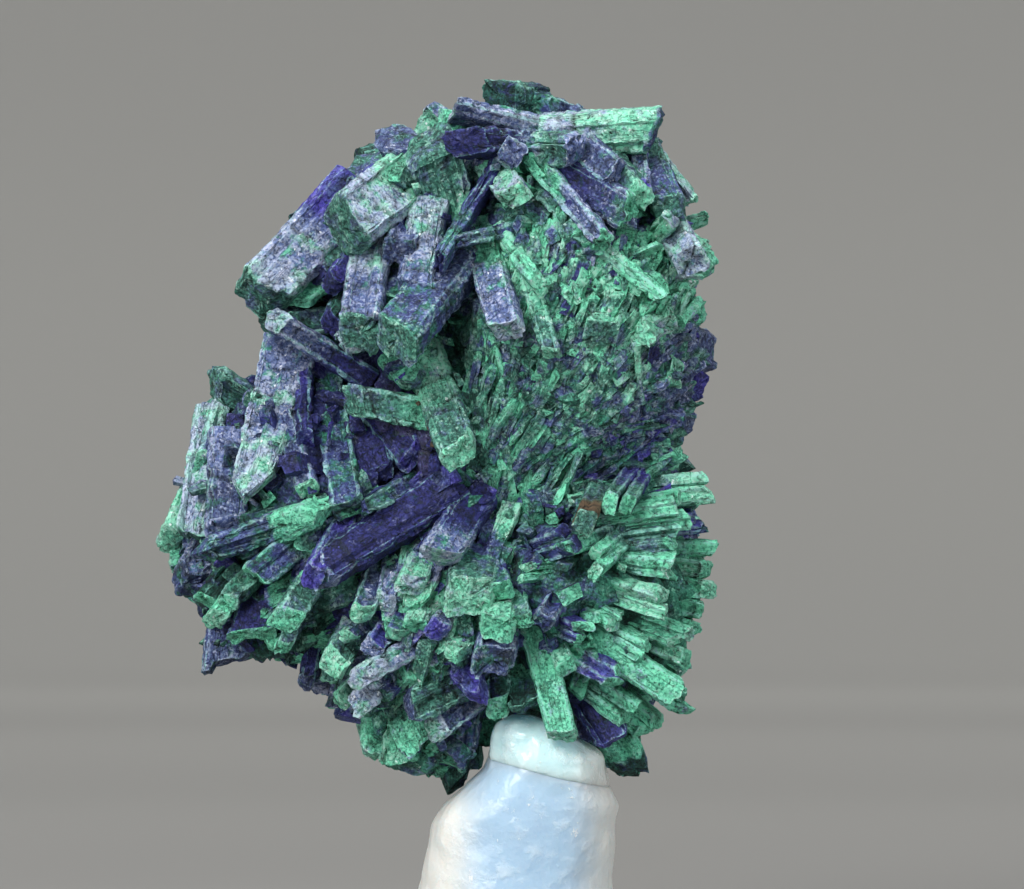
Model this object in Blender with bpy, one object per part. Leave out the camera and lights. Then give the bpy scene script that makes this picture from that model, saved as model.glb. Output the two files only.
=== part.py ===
"""Azurite-malachite specimen on its display post.

Metres, +Z up. The origin is the middle of the post's flat foot, +X is to the
viewer's right and the specimen's best side looks along -Y.

The specimen is one solid, because its crystals grew together: lumps of rock and
ore at the heart, tabular crystals that stand on them, and sprays of thinner
blades at the sides and the back. A bead of clear tack on the post cups its foot.
"""
import math

import bmesh
import bpy
import numpy as np
from mathutils import Matrix, Vector

SPECIMEN_HEIGHT = 0.043
TOUCH_GAP = 0.0003

# Places and sizes are read off a front drawing, on which the crystals stand 36
# high: U to the right and V down from its top left corner, D towards the viewer.
DRAWN_HEIGHT = 36.0
DRAWN = SPECIMEN_HEIGHT / DRAWN_HEIGHT
FOOT_U = 25.8
FOOT_D = 1.2
FLOOR_V = 48.0

# A crystal wider than this has bevelled sides. MOST_SLANT is the steepest slope of
# a crystal's end across its width.
WIDE = 1.7
MOST_SLANT = 0.3

# The specimen's outline on the drawing, clockwise from the left of its top.
OUTLINE = [
    (22.3, 5.1), (23.8, 4.0), (25.7, 3.9), (28.7, 5.2), (33.1, 6.3), (33.4, 8.3), (34.5, 9.5),
    (35.5, 10.8), (35.7, 12.5), (35.4, 13.9), (34.9, 14.9), (35.2, 16.6), (35.8, 17.9),
    (35.0, 18.6), (35.0, 20.8), (34.2, 21.6), (34.1, 23.2), (35.7, 24.4), (35.9, 25.9),
    (35.5, 26.9), (35.8, 27.6), (35.6, 30.0), (34.9, 31.2), (34.5, 33.0), (34.7, 35.2),
    (32.9, 35.8), (32.0, 37.1), (31.8, 38.2), (30.7, 39.0), (28.6, 38.4), (24.2, 38.8),
    (22.5, 39.9), (20.1, 38.3), (18.2, 38.2), (17.5, 36.4), (16.0, 35.6), (14.9, 34.1),
    (13.4, 33.0), (10.2, 33.9), (10.0, 32.0), (9.1, 30.0), (8.0, 28.5), (7.8, 27.5),
    (8.3, 26.2), (8.1, 24.2), (9.0, 23.2), (9.0, 20.8), (10.6, 20.0), (10.3, 18.9),
    (12.7, 18.4), (13.7, 16.9), (12.3, 14.8), (12.6, 14.0), (14.1, 12.8), (14.1, 11.6),
    (15.0, 10.5), (16.5, 9.4), (18.0, 8.5), (19.1, 7.7), (19.7, 6.6), (21.8, 6.2),
]

# How finely a heart is rounded.
HEART_ROUNDING = 1

# The rounded heart of each growth: middle U, V, D and half sizes along U, V, D.
HEARTS = {
    "upper right": ((28.2, 15.6, 0.0), (6.9, 8.8, 7.9)),
    "upper left": ((20.9, 12.8, 0.0), (5.6, 5.6, 6.2)),
    "left": ((15.7, 25.0, 0.0), (6.7, 6.4, 6.9)),
    "lower right": ((27.8, 29.6, 0.0), (6.8, 6.6, 7.4)),
    "lower middle": ((21.4, 31.0, 0.2), (5.4, 6.0, 7.4)),
    "waist": ((22.3, 21.6, 0.0), (6.0, 6.4, 6.6)),
    "crown": ((27.6, 8.8, 0.8), (5.4, 3.0, 4.8)),
    "right edge": ((32.0, 18.6, 0.2), (3.0, 5.0, 4.4)),
    "left foot": ((13.4, 29.6, 1.6), (3.8, 3.3, 4.0)),
    "lower edge": ((31.0, 30.0, 0.4), (4.0, 4.8, 4.6)),
    "bottom": ((21.0, 35.6, 2.0), (2.8, 3.0, 3.2)),
}

# One row for each crystal of the best side: its free end U, V, D, its buried end
# U, V, D, its width, its thickness, its roll in degrees and how pointed it is.
UPPER_LEFT = [
    (12.9, 15.1, 5.5, 17.8, 9.6, 2.0, 3.0, 2.6, 0, 0.1),
    (17.2, 11.7, 8.2, 21.0, 8.6, 2.5, 3.1, 3.0, 0, 0.1),
    (18.1, 16.9, 9.0, 18.8, 11.4, 6.0, 2.1, 2.1, 5, 0.0),
    (19.9, 12.9, 7.8, 21.0, 11.0, 4.0, 1.6, 1.6, 20, 0.1),
    (20.8, 14.9, 8.0, 21.5, 10.4, 5.0, 1.9, 1.7, 0, 0.0),
    (19.8, 17.3, 10.3, 23.5, 12.4, 6.4, 2.6, 2.0, 25, 0.0),
    (19.7, 6.9, 3.8, 21.9, 9.9, 2.6, 2.0, 2.2, 0, 0.0),
    (21.5, 7.1, 5.6, 22.6, 11.2, 3.8, 2.7, 2.3, 0, 0.0),
    (18.2, 8.5, 4.0, 20.4, 10.6, 2.0, 1.5, 1.4, 10, 0.2),
    (16.9, 9.2, 3.0, 19.6, 11.4, 1.5, 1.7, 1.6, 0, 0.2),
    (14.1, 11.4, 2.0, 17.9, 11.2, 1.0, 2.2, 1.0, 10, 0.4),
    (16.4, 14.6, 6.4, 18.2, 12.6, 3.0, 1.5, 1.4, 0, 0.5),
    (14.3, 15.4, 5.2, 17.8, 13.0, 3.0, 1.7, 0.9, 35, 0.4),
    (15.7, 13.5, 4.8, 18.0, 11.6, 3.0, 1.8, 1.3, 0, 0.1),
    (16.7, 16.5, 5.6, 18.6, 13.6, 3.4, 1.8, 1.4, 0, 0.2),
    (19.4, 15.4, 7.4, 20.4, 12.6, 4.4, 1.5, 1.4, 15, 0.3),
    (17.0, 17.4, 7.4, 20.0, 16.0, 5.0, 1.7, 1.4, 0, 0.4),
]
TOP = [
    (24.9, 4.9, 3.6, 28.9, 5.9, 0.6, 2.1, 2.1, 0, 0.2),
    (22.5, 5.7, 4.2, 27.8, 6.9, 1.6, 1.0, 4.4, 12, 0.1),
    (22.3, 6.3, 3.0, 24.8, 7.6, 1.6, 2.0, 2.3, 0, 0.3),
    (22.9, 7.3, 7.0, 26.2, 7.5, 4.2, 1.3, 2.6, 12, 0.1),
    (25.7, 7.9, 7.4, 25.2, 7.6, 3.0, 1.6, 1.6, 0, 0.3),
    (33.1, 6.9, 4.2, 27.2, 7.0, 3.4, 2.4, 3.9, 14, 0.0),
    (28.8, 7.7, 6.8, 26.0, 7.4, 3.6, 1.9, 2.1, 20, 0.2),
    (30.8, 9.1, 7.1, 28.6, 7.0, 4.0, 1.7, 1.4, 0, 0.1),
    (31.7, 10.3, 6.8, 29.8, 7.8, 4.0, 1.9, 1.4, 10, 0.1),
    (33.4, 10.7, 6.0, 32.0, 7.6, 2.8, 2.1, 1.8, -10, 0.2),
    (31.6, 10.9, 7.5, 28.0, 8.9, 5.4, 2.2, 1.7, 10, 0.1),
    (30.5, 12.7, 8.8, 26.2, 7.3, 7.0, 1.2, 1.7, 12, 0.6),
    (25.9, 10.2, 7.8, 24.6, 8.4, 4.8, 1.6, 1.4, 0, 0.2),
]
UPPER_MIDDLE = [
    (25.4, 16.8, 9.8, 23.9, 11.5, 6.4, 2.1, 1.7, 0, 0.0),
    (27.6, 18.0, 9.2, 26.2, 13.2, 6.8, 1.0, 1.3, 0, 0.1),
    (29.9, 17.0, 8.6, 30.4, 15.0, 5.6, 1.7, 1.6, 0, 0.1),
    (34.6, 13.2, 5.8, 33.2, 11.0, 3.0, 1.6, 1.7, 0, 0.1),
    (35.7, 13.1, 1.6, 32.8, 13.2, 0.4, 2.1, 2.0, 0, 0.4),
    (35.7, 17.6, 1.6, 33.0, 17.0, 0.4, 2.4, 2.5, 0, 0.2),
    (35.0, 19.4, 1.8, 32.4, 18.8, 0.4, 2.0, 2.1, 0, 0.2),
    (34.8, 21.3, 1.2, 31.6, 20.4, 0.2, 1.7, 2.0, 0, 0.3),
    (34.2, 23.0, 1.6, 31.0, 22.0, 0.4, 1.6, 1.8, 0, 0.2),
    (33.8, 18.7, 5.0, 32.0, 17.9, 2.6, 1.8, 1.6, 0, 0.2),
]
LEFT = [
    (10.7, 19.1, 2.0, 14.0, 21.2, 0.6, 2.0, 2.1, 0, 0.2),
    (12.5, 24.9, 8.0, 14.9, 16.8, 4.4, 3.2, 1.8, 8, 0.7),
    (9.6, 27.1, 4.8, 10.5, 20.6, 2.0, 1.6, 2.1, 0, 0.2),
    (11.4, 26.7, 6.6, 11.5, 21.8, 3.6, 2.1, 1.8, 0, 0.1),
    (8.3, 27.4, 2.4, 10.2, 23.4, 1.0, 1.3, 2.2, 0, 0.3),
    (9.2, 29.3, 3.8, 11.3, 26.0, 1.8, 2.1, 2.1, 0, 0.4),
    (7.9, 28.3, 1.2, 11.0, 27.2, 0.2, 1.7, 2.0, 0, 0.4),
    (8.9, 29.9, 2.0, 11.5, 27.6, 0.8, 1.6, 1.8, 0, 0.3),
    (13.7, 15.9, 6.6, 18.4, 18.9, 4.6, 1.3, 1.7, 0, 0.2),
    (15.7, 24.8, 7.4, 14.4, 21.0, 4.8, 1.3, 1.6, 10, 0.3),
    (17.6, 25.6, 8.2, 16.2, 18.4, 5.4, 1.7, 1.7, 0, 0.1),
    (18.7, 24.0, 6.4, 17.4, 20.2, 4.6, 2.6, 1.0, 0, 0.1),
    (20.7, 22.9, 6.5, 18.8, 20.4, 4.6, 1.9, 1.0, 0, 0.2),
    (17.5, 20.0, 7.2, 22.6, 21.0, 5.4, 1.6, 1.7, 0, 0.1),
    (23.0, 22.8, 9.2, 21.0, 17.4, 5.8, 2.2, 1.7, 0, 0.2),
    (21.0, 19.4, 7.2, 20.0, 17.9, 4.6, 2.0, 1.3, 0, 0.5),
    (15.9, 28.6, 8.6, 23.7, 23.7, 7.4, 2.5, 1.8, 15, 0.1),
    (15.7, 28.9, 9.2, 17.6, 25.4, 6.4, 1.1, 1.4, 0, 0.1),
    (10.0, 27.6, 7.2, 16.6, 25.4, 6.8, 1.8, 2.1, 0, 0.5),
    (14.2, 26.4, 8.6, 16.7, 25.3, 6.6, 2.5, 2.1, 0, 0.4),
    (12.7, 28.9, 7.8, 15.7, 26.6, 5.8, 1.7, 1.4, 0, 0.2),
]
LOWER_LEFT = [
    (10.3, 30.3, 5.2, 12.8, 27.4, 3.0, 1.7, 1.7, 0, 0.2),
    (14.4, 31.0, 8.8, 16.2, 28.2, 5.8, 1.5, 1.4, 0, 0.0),
    (12.6, 31.9, 6.4, 14.2, 27.6, 4.0, 2.4, 1.0, 15, 0.0),
    (10.9, 33.4, 3.2, 13.4, 28.4, 2.2, 2.8, 1.3, 0, 0.9),
    (12.8, 32.9, 2.4, 14.4, 28.6, 1.4, 1.5, 1.2, 0, 0.3),
    (16.7, 33.3, 8.0, 18.0, 30.8, 5.0, 1.5, 1.3, 0, 0.2),
]
LOWER_MIDDLE = [
    (18.0, 31.0, 8.8, 19.4, 27.4, 5.8, 1.5, 1.3, 0, 0.2),
    (19.3, 30.4, 8.6, 20.0, 27.2, 5.8, 1.3, 1.3, 0, 0.3),
    (20.5, 29.3, 8.9, 21.8, 26.4, 6.0, 1.5, 1.2, 0, 0.2),
    (21.9, 27.8, 9.2, 23.9, 24.8, 6.2, 2.1, 1.6, 0, 0.1),
    (23.5, 29.9, 9.4, 23.9, 27.6, 5.0, 2.9, 2.0, 0, 0.2),
    (25.0, 29.5, 8.8, 24.4, 27.8, 5.0, 1.5, 1.4, 0, 0.2),
    (19.8, 31.9, 9.0, 20.6, 29.6, 5.6, 1.5, 1.3, 0, 0.3),
    (17.9, 33.7, 8.8, 22.0, 31.5, 6.4, 1.1, 1.4, 0, 0.1),
    (22.9, 32.7, 9.1, 23.1, 31.0, 5.6, 1.9, 1.3, 0, 0.6),
    (24.9, 31.3, 9.3, 25.1, 29.4, 5.6, 2.0, 1.6, 0, 0.2),
    (24.6, 33.0, 9.1, 25.0, 31.0, 5.6, 2.2, 1.6, 0, 0.1),
    (24.2, 34.8, 8.6, 22.5, 32.4, 5.6, 2.0, 1.4, 0, 0.5),
    (20.4, 35.1, 7.4, 23.8, 33.6, 5.2, 2.1, 1.4, 0, 0.2),
    (21.4, 37.3, 5.8, 19.8, 33.4, 4.2, 2.8, 1.3, 0, 0.2),
    (18.9, 37.9, 3.8, 19.4, 33.6, 3.0, 2.1, 1.6, 0, 0.2),
    (19.8, 38.2, 4.8, 20.4, 34.4, 3.4, 1.9, 1.4, 0, 0.1),
    (21.6, 36.4, 6.8, 23.8, 34.6, 4.2, 1.5, 1.3, 0, 0.2),
    (22.4, 39.7, 1.4, 23.2, 35.0, 1.0, 2.2, 1.8, 0, 0.6),
    (21.7, 39.0, 2.0, 22.6, 34.8, 1.4, 1.6, 1.4, 0, 0.3),
    (26.2, 35.8, 7.0, 26.2, 33.2, 4.8, 2.0, 1.3, 0, 0.3),
]
RIGHT_FAN = [
    (34.9, 25.4, 5.4, 29.6, 26.2, 4.8, 1.5, 1.4, 0, 0.1),
    (34.6, 26.6, 5.8, 29.6, 27.2, 5.2, 1.3, 1.3, 0, 0.1),
    (29.1, 28.5, 8.4, 31.6, 26.5, 5.4, 1.3, 1.2, 0, 0.2),
    (34.2, 28.3, 6.0, 29.6, 27.8, 5.4, 1.2, 1.3, 0, 0.1),
    (33.7, 30.3, 6.6, 29.0, 28.8, 5.8, 1.3, 1.3, 0, 0.2),
    (31.3, 31.2, 7.3, 28.0, 29.3, 5.4, 1.2, 1.2, 0, 0.2),
    (34.7, 32.0, 5.0, 30.4, 30.4, 4.4, 1.1, 1.3, 0, 0.1),
    (33.0, 32.8, 6.4, 29.2, 30.8, 5.2, 1.2, 1.2, 0, 0.1),
    (34.1, 34.8, 6.0, 29.4, 31.8, 5.6, 1.6, 1.3, 0, 0.2),
    (31.3, 34.0, 7.4, 27.8, 32.0, 5.4, 1.3, 1.2, 0, 0.3),
    (29.8, 31.8, 8.2, 27.2, 30.8, 5.6, 1.3, 1.2, 0, 0.4),
    (28.2, 36.9, 7.3, 26.7, 31.2, 5.8, 1.6, 1.3, 0, 0.1),
    (32.0, 35.9, 5.8, 28.8, 33.6, 4.2, 1.5, 1.3, 0, 0.2),
    (33.0, 36.7, 3.6, 29.4, 33.6, 2.6, 1.5, 1.6, 0, 0.2),
    (30.8, 37.1, 5.2, 28.8, 34.0, 3.6, 1.7, 1.4, 0, 0.1),
    (31.6, 38.6, 2.8, 29.2, 34.0, 1.8, 1.9, 1.8, 0, 0.2),
    (34.6, 35.4, 4.2, 31.0, 32.8, 3.2, 1.2, 1.4, 0, 0.2),
    (28.9, 26.6, 8.2, 25.6, 27.8, 5.2, 1.5, 1.2, 0, 0.2),
    (30.5, 25.6, 8.0, 31.9, 23.8, 5.2, 1.5, 1.3, 0, 0.2),
]

# How deep a crystal's buried end is set into the heart behind it.
ROOT_DEPTH = 0.6

# The layered side of the upper right growth: blades packed like the pages of a
# fanned book, from its lowest corner up and to the right. A leaf starts at a share
# of its reach, a little under the heart's surface, and ends a little above it.
BOOK_CORNER = (24.6, 25.4)
BOOK_ANGLES = (100.0, 22.0)
BOOK_REACH = (6.5, 11.5)
BOOK_LEAVES = 14
LEAF_START = 0.35
LEAF_UNDER = 0.4
LEAF_ABOVE = (0.1, 0.7)
LEAF_WIDTH = (1.0, 1.6)
LEAF_THICK = (0.9, 1.4)
LEAF_ROLL = (-15, 15)
LEAF_POINT = 0.2

# Crystals of the back, for each growth: how many would cover its heart all round,
# their width and thickness ranges and how far they stand out of the heart. Only
# those behind SPRAY_FROM of the heart's depth are made. A crystal's buried end
# lies under the surface and is moved along it at random, so that crystals lean.
SPRAYS = {
    "upper right": (40, (2.4, 3.8), (1.4, 2.4), (0.8, 1.9)),
    "upper left": (26, (2.2, 3.6), (1.4, 2.4), (0.8, 1.8)),
    "left": (30, (2.2, 3.4), (1.2, 2.0), (0.8, 1.9)),
    "lower right": (36, (2.0, 3.2), (1.0, 1.7), (0.9, 2.0)),
    "lower middle": (24, (2.0, 3.2), (1.2, 1.9), (0.7, 1.6)),
    "waist": (14, (2.0, 3.2), (1.2, 1.9), (0.6, 1.4)),
}
SPRAY_FROM = -0.1
SPRAY_LEAN = 1.8
SPRAY_ROOT = 1.6
SPRAY_SEED = 7
SPRAY_JITTER = 0.08
SPRAY_ROLL = 60
SPRAY_POINT = 0.5
GOLDEN_TURN = math.pi * (3 - math.sqrt(5))

# Crystals whose tips make the outline: how far apart they stand, how far in front
# of the middle and behind it, how long they are, and their width and thickness,
# on the stout growths and on the fan at the lower right.
FRINGE_STEP = {"stout": 3.0, "fan": 1.7}
FRINGE_DEPTHS = (-3.4, 1.4)
FRINGE_LENGTH = 4.0
FRINGE_INSET = 0.4
FRINGE_WIDTHS = {"stout": (1.8, 2.8), "fan": (0.9, 1.5)}
FRINGE_THICKS = {"stout": (1.0, 1.7), "fan": (0.7, 1.1)}
FRINGE_ROLL = 70
FRINGE_POINTS = (0.1, 0.6)
FAN_CORNER = (32.5, 24.0)

# The post and the bead of clear tack on it, from the foot up: height, how far its
# middle is to the right of the foot's and in front of it, half width, half depth.
POST_LEVELS = [
    (0.0, 0.0, 0.0, 6.5, 6.3),
    (0.7, 0.0, 0.0, 6.4, 6.2),
    (1.7, 0.0, 0.1, 5.4, 5.2),
    (3.6, 0.0, 0.3, 4.8, 4.8),
    (5.5, 0.2, 0.5, 4.7, 4.8),
    (7.2, 0.4, 0.8, 4.5, 4.7),
    (7.8, 0.7, 0.9, 4.3, 4.6),
    (8.7, 1.0, 1.2, 3.6, 4.3),
    (9.7, 1.4, 1.6, 3.0, 3.9),
    (10.5, 1.4, 1.9, 2.8, 3.5),
    (11.0, 1.1, 2.2, 2.4, 3.0),
    (11.6, 0.5, 2.7, 1.6, 2.2),
    (12.1, 0.3, 3.1, 1.0, 1.3),
    (12.4, 0.2, 3.3, 0.3, 0.4),
]
POST_SIDES = 18

# The bead meets the post in a slanting face: how far right of the foot and how high
# its middle is, and its slope.
BEAD_JOINT = (1.4, 9.5)
BEAD_SLOPE = -0.24

# No crystal's tip comes this near the post: its middle U, half width and top V.
POST_CLEAR = (27.2, 3.4, 35.4)


def place(u, v, d):
    """A point of the front drawing as a point of the object's frame, in metres."""
    return Vector((u - FOOT_U, FOOT_D - d, FLOOR_V - v)) * DRAWN


def object_of(mesh_maker, name):
    """A mesh object whose mesh is what mesh_maker builds in a bmesh."""
    shape = bmesh.new()
    mesh_maker(shape)
    mesh = bpy.data.meshes.new(name)
    shape.to_mesh(mesh)
    shape.free()
    return bpy.data.objects.new(name, mesh)


def crystal(name, tip, root, width, thick, roll, point):
    """A tabular prism from root to tip. Wide ones have bevelled sides, and the end slants to a point."""
    length = (tip - root).length
    bevel = 0.3 * thick if width > WIDE * DRAWN else 0
    slant = MOST_SLANT * math.sin(5.1 * tip.x / DRAWN + 3.7 * tip.z / DRAWN)
    taper = 1 - 0.5 * point
    drop = (0.1 + 0.9 * point) * width

    def build(shape):
        bmesh.ops.create_cube(shape, size=1)
        if bevel:
            for level in (-0.5, 0.5):
                for side in (-0.5, 0.5):
                    bmesh.ops.create_vert(shape, co=(side, 0, level))
        for corner in shape.verts:
            ridge = corner.co.y == 0
            half = width / 2 * (taper if corner.co.z > 0 else 1)
            across = math.copysign(half if ridge or not bevel else half - bevel, corner.co.x)
            through = 0 if ridge else math.copysign(thick / 2, corner.co.y)
            end = length - slant * across - (drop if ridge or not bevel else 0)
            corner.co = (across, through, end if corner.co.z > 0 else 0)
        bmesh.ops.delete(shape, geom=shape.faces[:] + shape.edges[:], context="EDGES_FACES")
        bmesh.ops.convex_hull(shape, input=shape.verts)

    made = object_of(build, name)
    made.matrix_world = standing(tip, root, roll)
    return made


def standing(tip, root, roll):
    """The place of a crystal: Z runs from root to tip, X is its width and Y its thickness."""
    along = (tip - root).normalized()
    to_viewer = Vector((0, -1, 0))
    across = along.cross(to_viewer).normalized()
    through = along.cross(across)
    turn = math.radians(roll)
    wide = across * math.cos(turn) + through * math.sin(turn)
    thin = along.cross(wide)
    matrix = Matrix((wide, thin, along)).transposed().to_4x4()
    matrix.translation = root
    return matrix


def heart(name, middle, half_sizes):
    """A rounded lump of ore at the heart of a growth."""
    def build(shape):
        bmesh.ops.create_icosphere(shape, subdivisions=HEART_ROUNDING, radius=1)

    made = object_of(build, name)
    stretch = Matrix.Diagonal([half_sizes[0] * DRAWN, half_sizes[2] * DRAWN, half_sizes[1] * DRAWN, 1])
    made.data.transform(Matrix.Translation(place(*middle)) @ stretch)
    return made


def best_side():
    """The crystals that the front drawing gives one by one."""
    rows = UPPER_LEFT + TOP + UPPER_MIDDLE + LEFT + LOWER_LEFT + LOWER_MIDDLE + RIGHT_FAN
    for number, (u, v, d, root_u, root_v, root_d, width, thick, roll, point) in enumerate(rows):
        root_d = min(root_d, surface_depth(root_u, root_v) - ROOT_DEPTH)
        tip, root = place(u, v, d), place(root_u, root_v, root_d)
        yield crystal(f"crystal_{number}", tip, root, width * DRAWN, thick * DRAWN, roll, point)


def book():
    """The leaves of the layered side: each runs out from the book's heart at its own angle."""
    random = np.random.default_rng(SPRAY_SEED)
    for number in range(BOOK_LEAVES):
        share = (number + 0.5) / BOOK_LEAVES
        angle = math.radians(BOOK_ANGLES[0] + share * (BOOK_ANGLES[1] - BOOK_ANGLES[0]))
        reach = random.uniform(*BOOK_REACH)
        u_step, v_step = math.cos(angle) * reach, -math.sin(angle) * reach
        u, v = BOOK_CORNER[0] + u_step, BOOK_CORNER[1] + v_step
        root_u, root_v = BOOK_CORNER[0] + LEAF_START * u_step, BOOK_CORNER[1] + LEAF_START * v_step
        tip = place(u, v, surface_depth(u, v) + random.uniform(*LEAF_ABOVE))
        root = place(root_u, root_v, surface_depth(root_u, root_v) - LEAF_UNDER)
        width, thick = random.uniform(*LEAF_WIDTH) * DRAWN, random.uniform(*LEAF_THICK) * DRAWN
        yield crystal(f"leaf_{number}", tip, root, width, thick, random.uniform(*LEAF_ROLL), LEAF_POINT)


def surface_depth(u, v):
    """How far the nearest hearts stand towards the viewer at a place of the front drawing."""
    deepest = 0.0
    for middle, half in HEARTS.values():
        left = 1 - ((u - middle[0]) / half[0]) ** 2 - ((v - middle[1]) / half[1]) ** 2
        deepest = max(deepest, middle[2] + half[2] * math.sqrt(max(left, 0)))
    return deepest


def sprays():
    """Crystals that stand on the hearts at the sides and the back, spread by the golden turn."""
    random = np.random.default_rng(SPRAY_SEED)
    for name, (count, widths, thicks, stands) in SPRAYS.items():
        middle, half = HEARTS[name]
        for number in range(count):
            height = 1 - 2 * (number + 0.5) / count
            ring = math.sqrt(1 - height * height)
            turn = number * GOLDEN_TURN
            out = np.array((ring * math.cos(turn), height, ring * math.sin(turn)))
            out += random.normal(0, SPRAY_JITTER, 3)
            stand, width, thick = random.uniform(*stands), random.uniform(*widths), random.uniform(*thicks)
            roll, point = random.uniform(-SPRAY_ROLL, SPRAY_ROLL), random.uniform(0, SPRAY_POINT)
            lean = random.normal(0, SPRAY_LEAN, 3)
            if out[2] > SPRAY_FROM:
                continue
            surface = np.array(middle) + out * half
            away = out / np.linalg.norm(out)
            tip = surface + away * stand
            root = surface - away * SPRAY_ROOT + lean - away * (lean @ away)
            if buried(tip, name) or near_post(tip) or not inside_outline(root):
                continue
            while not inside_outline(tip + away * width / 2):
                tip = tip - 0.2 * away
            yield crystal(
                f"spray_{name.replace(' ', '_')}_{number}",
                place(*tip), place(*root), width * DRAWN, thick * DRAWN, roll, point)


def fringe():
    """Crystals that reach the outline all the way round, at many depths."""
    random = np.random.default_rng(SPRAY_SEED + 1)
    left_over = 0.0
    for start, end in zip(OUTLINE, OUTLINE[1:] + OUTLINE[:1]):
        start, end = np.array(start), np.array(end)
        side = np.linalg.norm(end - start)
        kind = "fan" if (start > FAN_CORNER).all() else "stout"
        while left_over < side:
            edge = start + (end - start) * left_over / side
            left_over += FRINGE_STEP[kind] * random.uniform(0.7, 1.3)
            inward = nearest_heart(edge) - edge
            inward = inward / np.linalg.norm(inward)
            depth = random.uniform(*FRINGE_DEPTHS)
            tip = np.array((*(edge + FRINGE_INSET * inward), depth))
            root = np.array((*(edge + FRINGE_LENGTH * inward), 0.5 * depth)) + random.normal(0, 0.5, 3)
            width, thick = random.uniform(*FRINGE_WIDTHS[kind]), random.uniform(*FRINGE_THICKS[kind])
            roll, point = random.uniform(-FRINGE_ROLL, FRINGE_ROLL), random.uniform(*FRINGE_POINTS)
            if near_post(tip):
                continue
            yield crystal(
                f"fringe_{edge[0]:.1f}_{edge[1]:.1f}",
                place(*tip), place(*root), width * DRAWN, thick * DRAWN, roll, point)
        left_over -= side


def nearest_heart(edge):
    """The middle, on the drawing, of the heart whose side is nearest a point of the outline."""
    middles = np.array([middle[:2] for middle, half in HEARTS.values()])
    halves = np.array([half[:2] for middle, half in HEARTS.values()])
    return middles[np.argmin(np.linalg.norm((edge - middles) / halves, axis=1))]


def near_post(point):
    """True if a point of the front drawing lies where the post comes up into the specimen."""
    return abs(point[0] - POST_CLEAR[0]) < POST_CLEAR[1] and point[1] > POST_CLEAR[2]


def inside_outline(point):
    """True if a point of the front drawing lies inside the outline: an odd number of its sides pass it."""
    u, v = point[0], point[1]
    crossings = sum(
        (b[1] > v) != (a[1] > v) and u < a[0] + (v - a[1]) / (b[1] - a[1]) * (b[0] - a[0])
        for a, b in zip(OUTLINE, OUTLINE[1:] + OUTLINE[:1]))
    return crossings % 2 == 1


def buried(point, growth):
    """True if a point of the front drawing lies inside another growth's heart."""
    return any(
        name != growth and (((point - middle) / half) ** 2).sum() < 1
        for name, (middle, half) in HEARTS.items())


def post_shape(shape, grown=0.0):
    """The post and its bead as rings stacked through their levels; grown moves every ring outwards."""
    rings = []
    for height, right, front, half_x, half_y in POST_LEVELS:
        ring = bmesh.ops.create_circle(shape, segments=POST_SIDES, radius=1)["verts"]
        for corner in ring:
            corner.co = Vector((
                right * DRAWN + corner.co.x * (half_x * DRAWN + grown),
                -front * DRAWN + corner.co.y * (half_y * DRAWN + grown),
                height * DRAWN + (grown if height == POST_LEVELS[-1][0] else 0)))
        rings.append(ring)
    for lower, upper in zip(rings, rings[1:]):
        edges = {edge for corner in lower + upper for edge in corner.link_edges}
        flat = [edge for edge in edges if abs(edge.verts[0].co.z - edge.verts[1].co.z) < 1e-6]
        bmesh.ops.bridge_loops(shape, edges=flat)
    for ring in (rings[0], rings[-1]):
        bmesh.ops.contextual_create(shape, geom=ring)
    bmesh.ops.recalc_face_normals(shape, faces=shape.faces)


def post_part(above):
    """A maker of the bead, above the slanting joint, or of the post below it, half the gap away from it."""
    tilt = Vector((-BEAD_SLOPE, 0, 1)).normalized()
    middle = Vector((BEAD_JOINT[0] * DRAWN, 0, BEAD_JOINT[1] * DRAWN))
    away = tilt if above else -tilt

    def build(shape):
        post_shape(shape)
        everything = shape.verts[:] + shape.edges[:] + shape.faces[:]
        plane = middle + away * TOUCH_GAP / 2
        cut = bmesh.ops.bisect_plane(shape, geom=everything, plane_co=plane, plane_no=away, clear_inner=True)
        rim = [part for part in cut["geom_cut"] if isinstance(part, bmesh.types.BMEdge)]
        bmesh.ops.contextual_create(shape, geom=rim)
        bmesh.ops.recalc_face_normals(shape, faces=shape.faces)

    return build


def outer_skin(obj):
    """The object as its modifiers leave it, without the hollows that its crystals close off."""
    bpy.context.view_layer.update()
    evaluated = obj.evaluated_get(bpy.context.evaluated_depsgraph_get())
    mesh = bpy.data.meshes.new_from_object(evaluated)
    shape = bmesh.new()
    shape.from_mesh(mesh)
    bmesh.ops.triangulate(shape, faces=shape.faces)
    left, skins = set(shape.faces), []
    while left:
        skin, rim = set(), [left.pop()]
        while rim:
            face = rim.pop()
            skin.add(face)
            near = {other for edge in face.edges for other in edge.link_faces} & left
            left -= near
            rim += near
        skins.append(skin)
    outer = max(skins, key=len)
    bmesh.ops.delete(shape, geom=[face for face in shape.faces if face not in outer], context="FACES")
    shape.to_mesh(mesh)
    shape.free()
    return mesh


def material(name, colour, roughness):
    """A plain finish of one colour."""
    made = bpy.data.materials.new(name)
    made.use_nodes = True
    surface = made.node_tree.nodes["Principled BSDF"]
    surface.inputs["Base Color"].default_value = (*colour, 1)
    surface.inputs["Roughness"].default_value = roughness
    surface.inputs["Metallic"].default_value = 0
    return made


def collection(name, parent):
    """A new collection inside parent."""
    made = bpy.data.collections.new(name)
    parent.children.link(made)
    return made


def helper(obj, where):
    """Links an object that only shapes others, and keeps it out of renders."""
    where.objects.link(obj)
    obj.hide_render = True
    obj.display_type = "WIRE"


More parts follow.
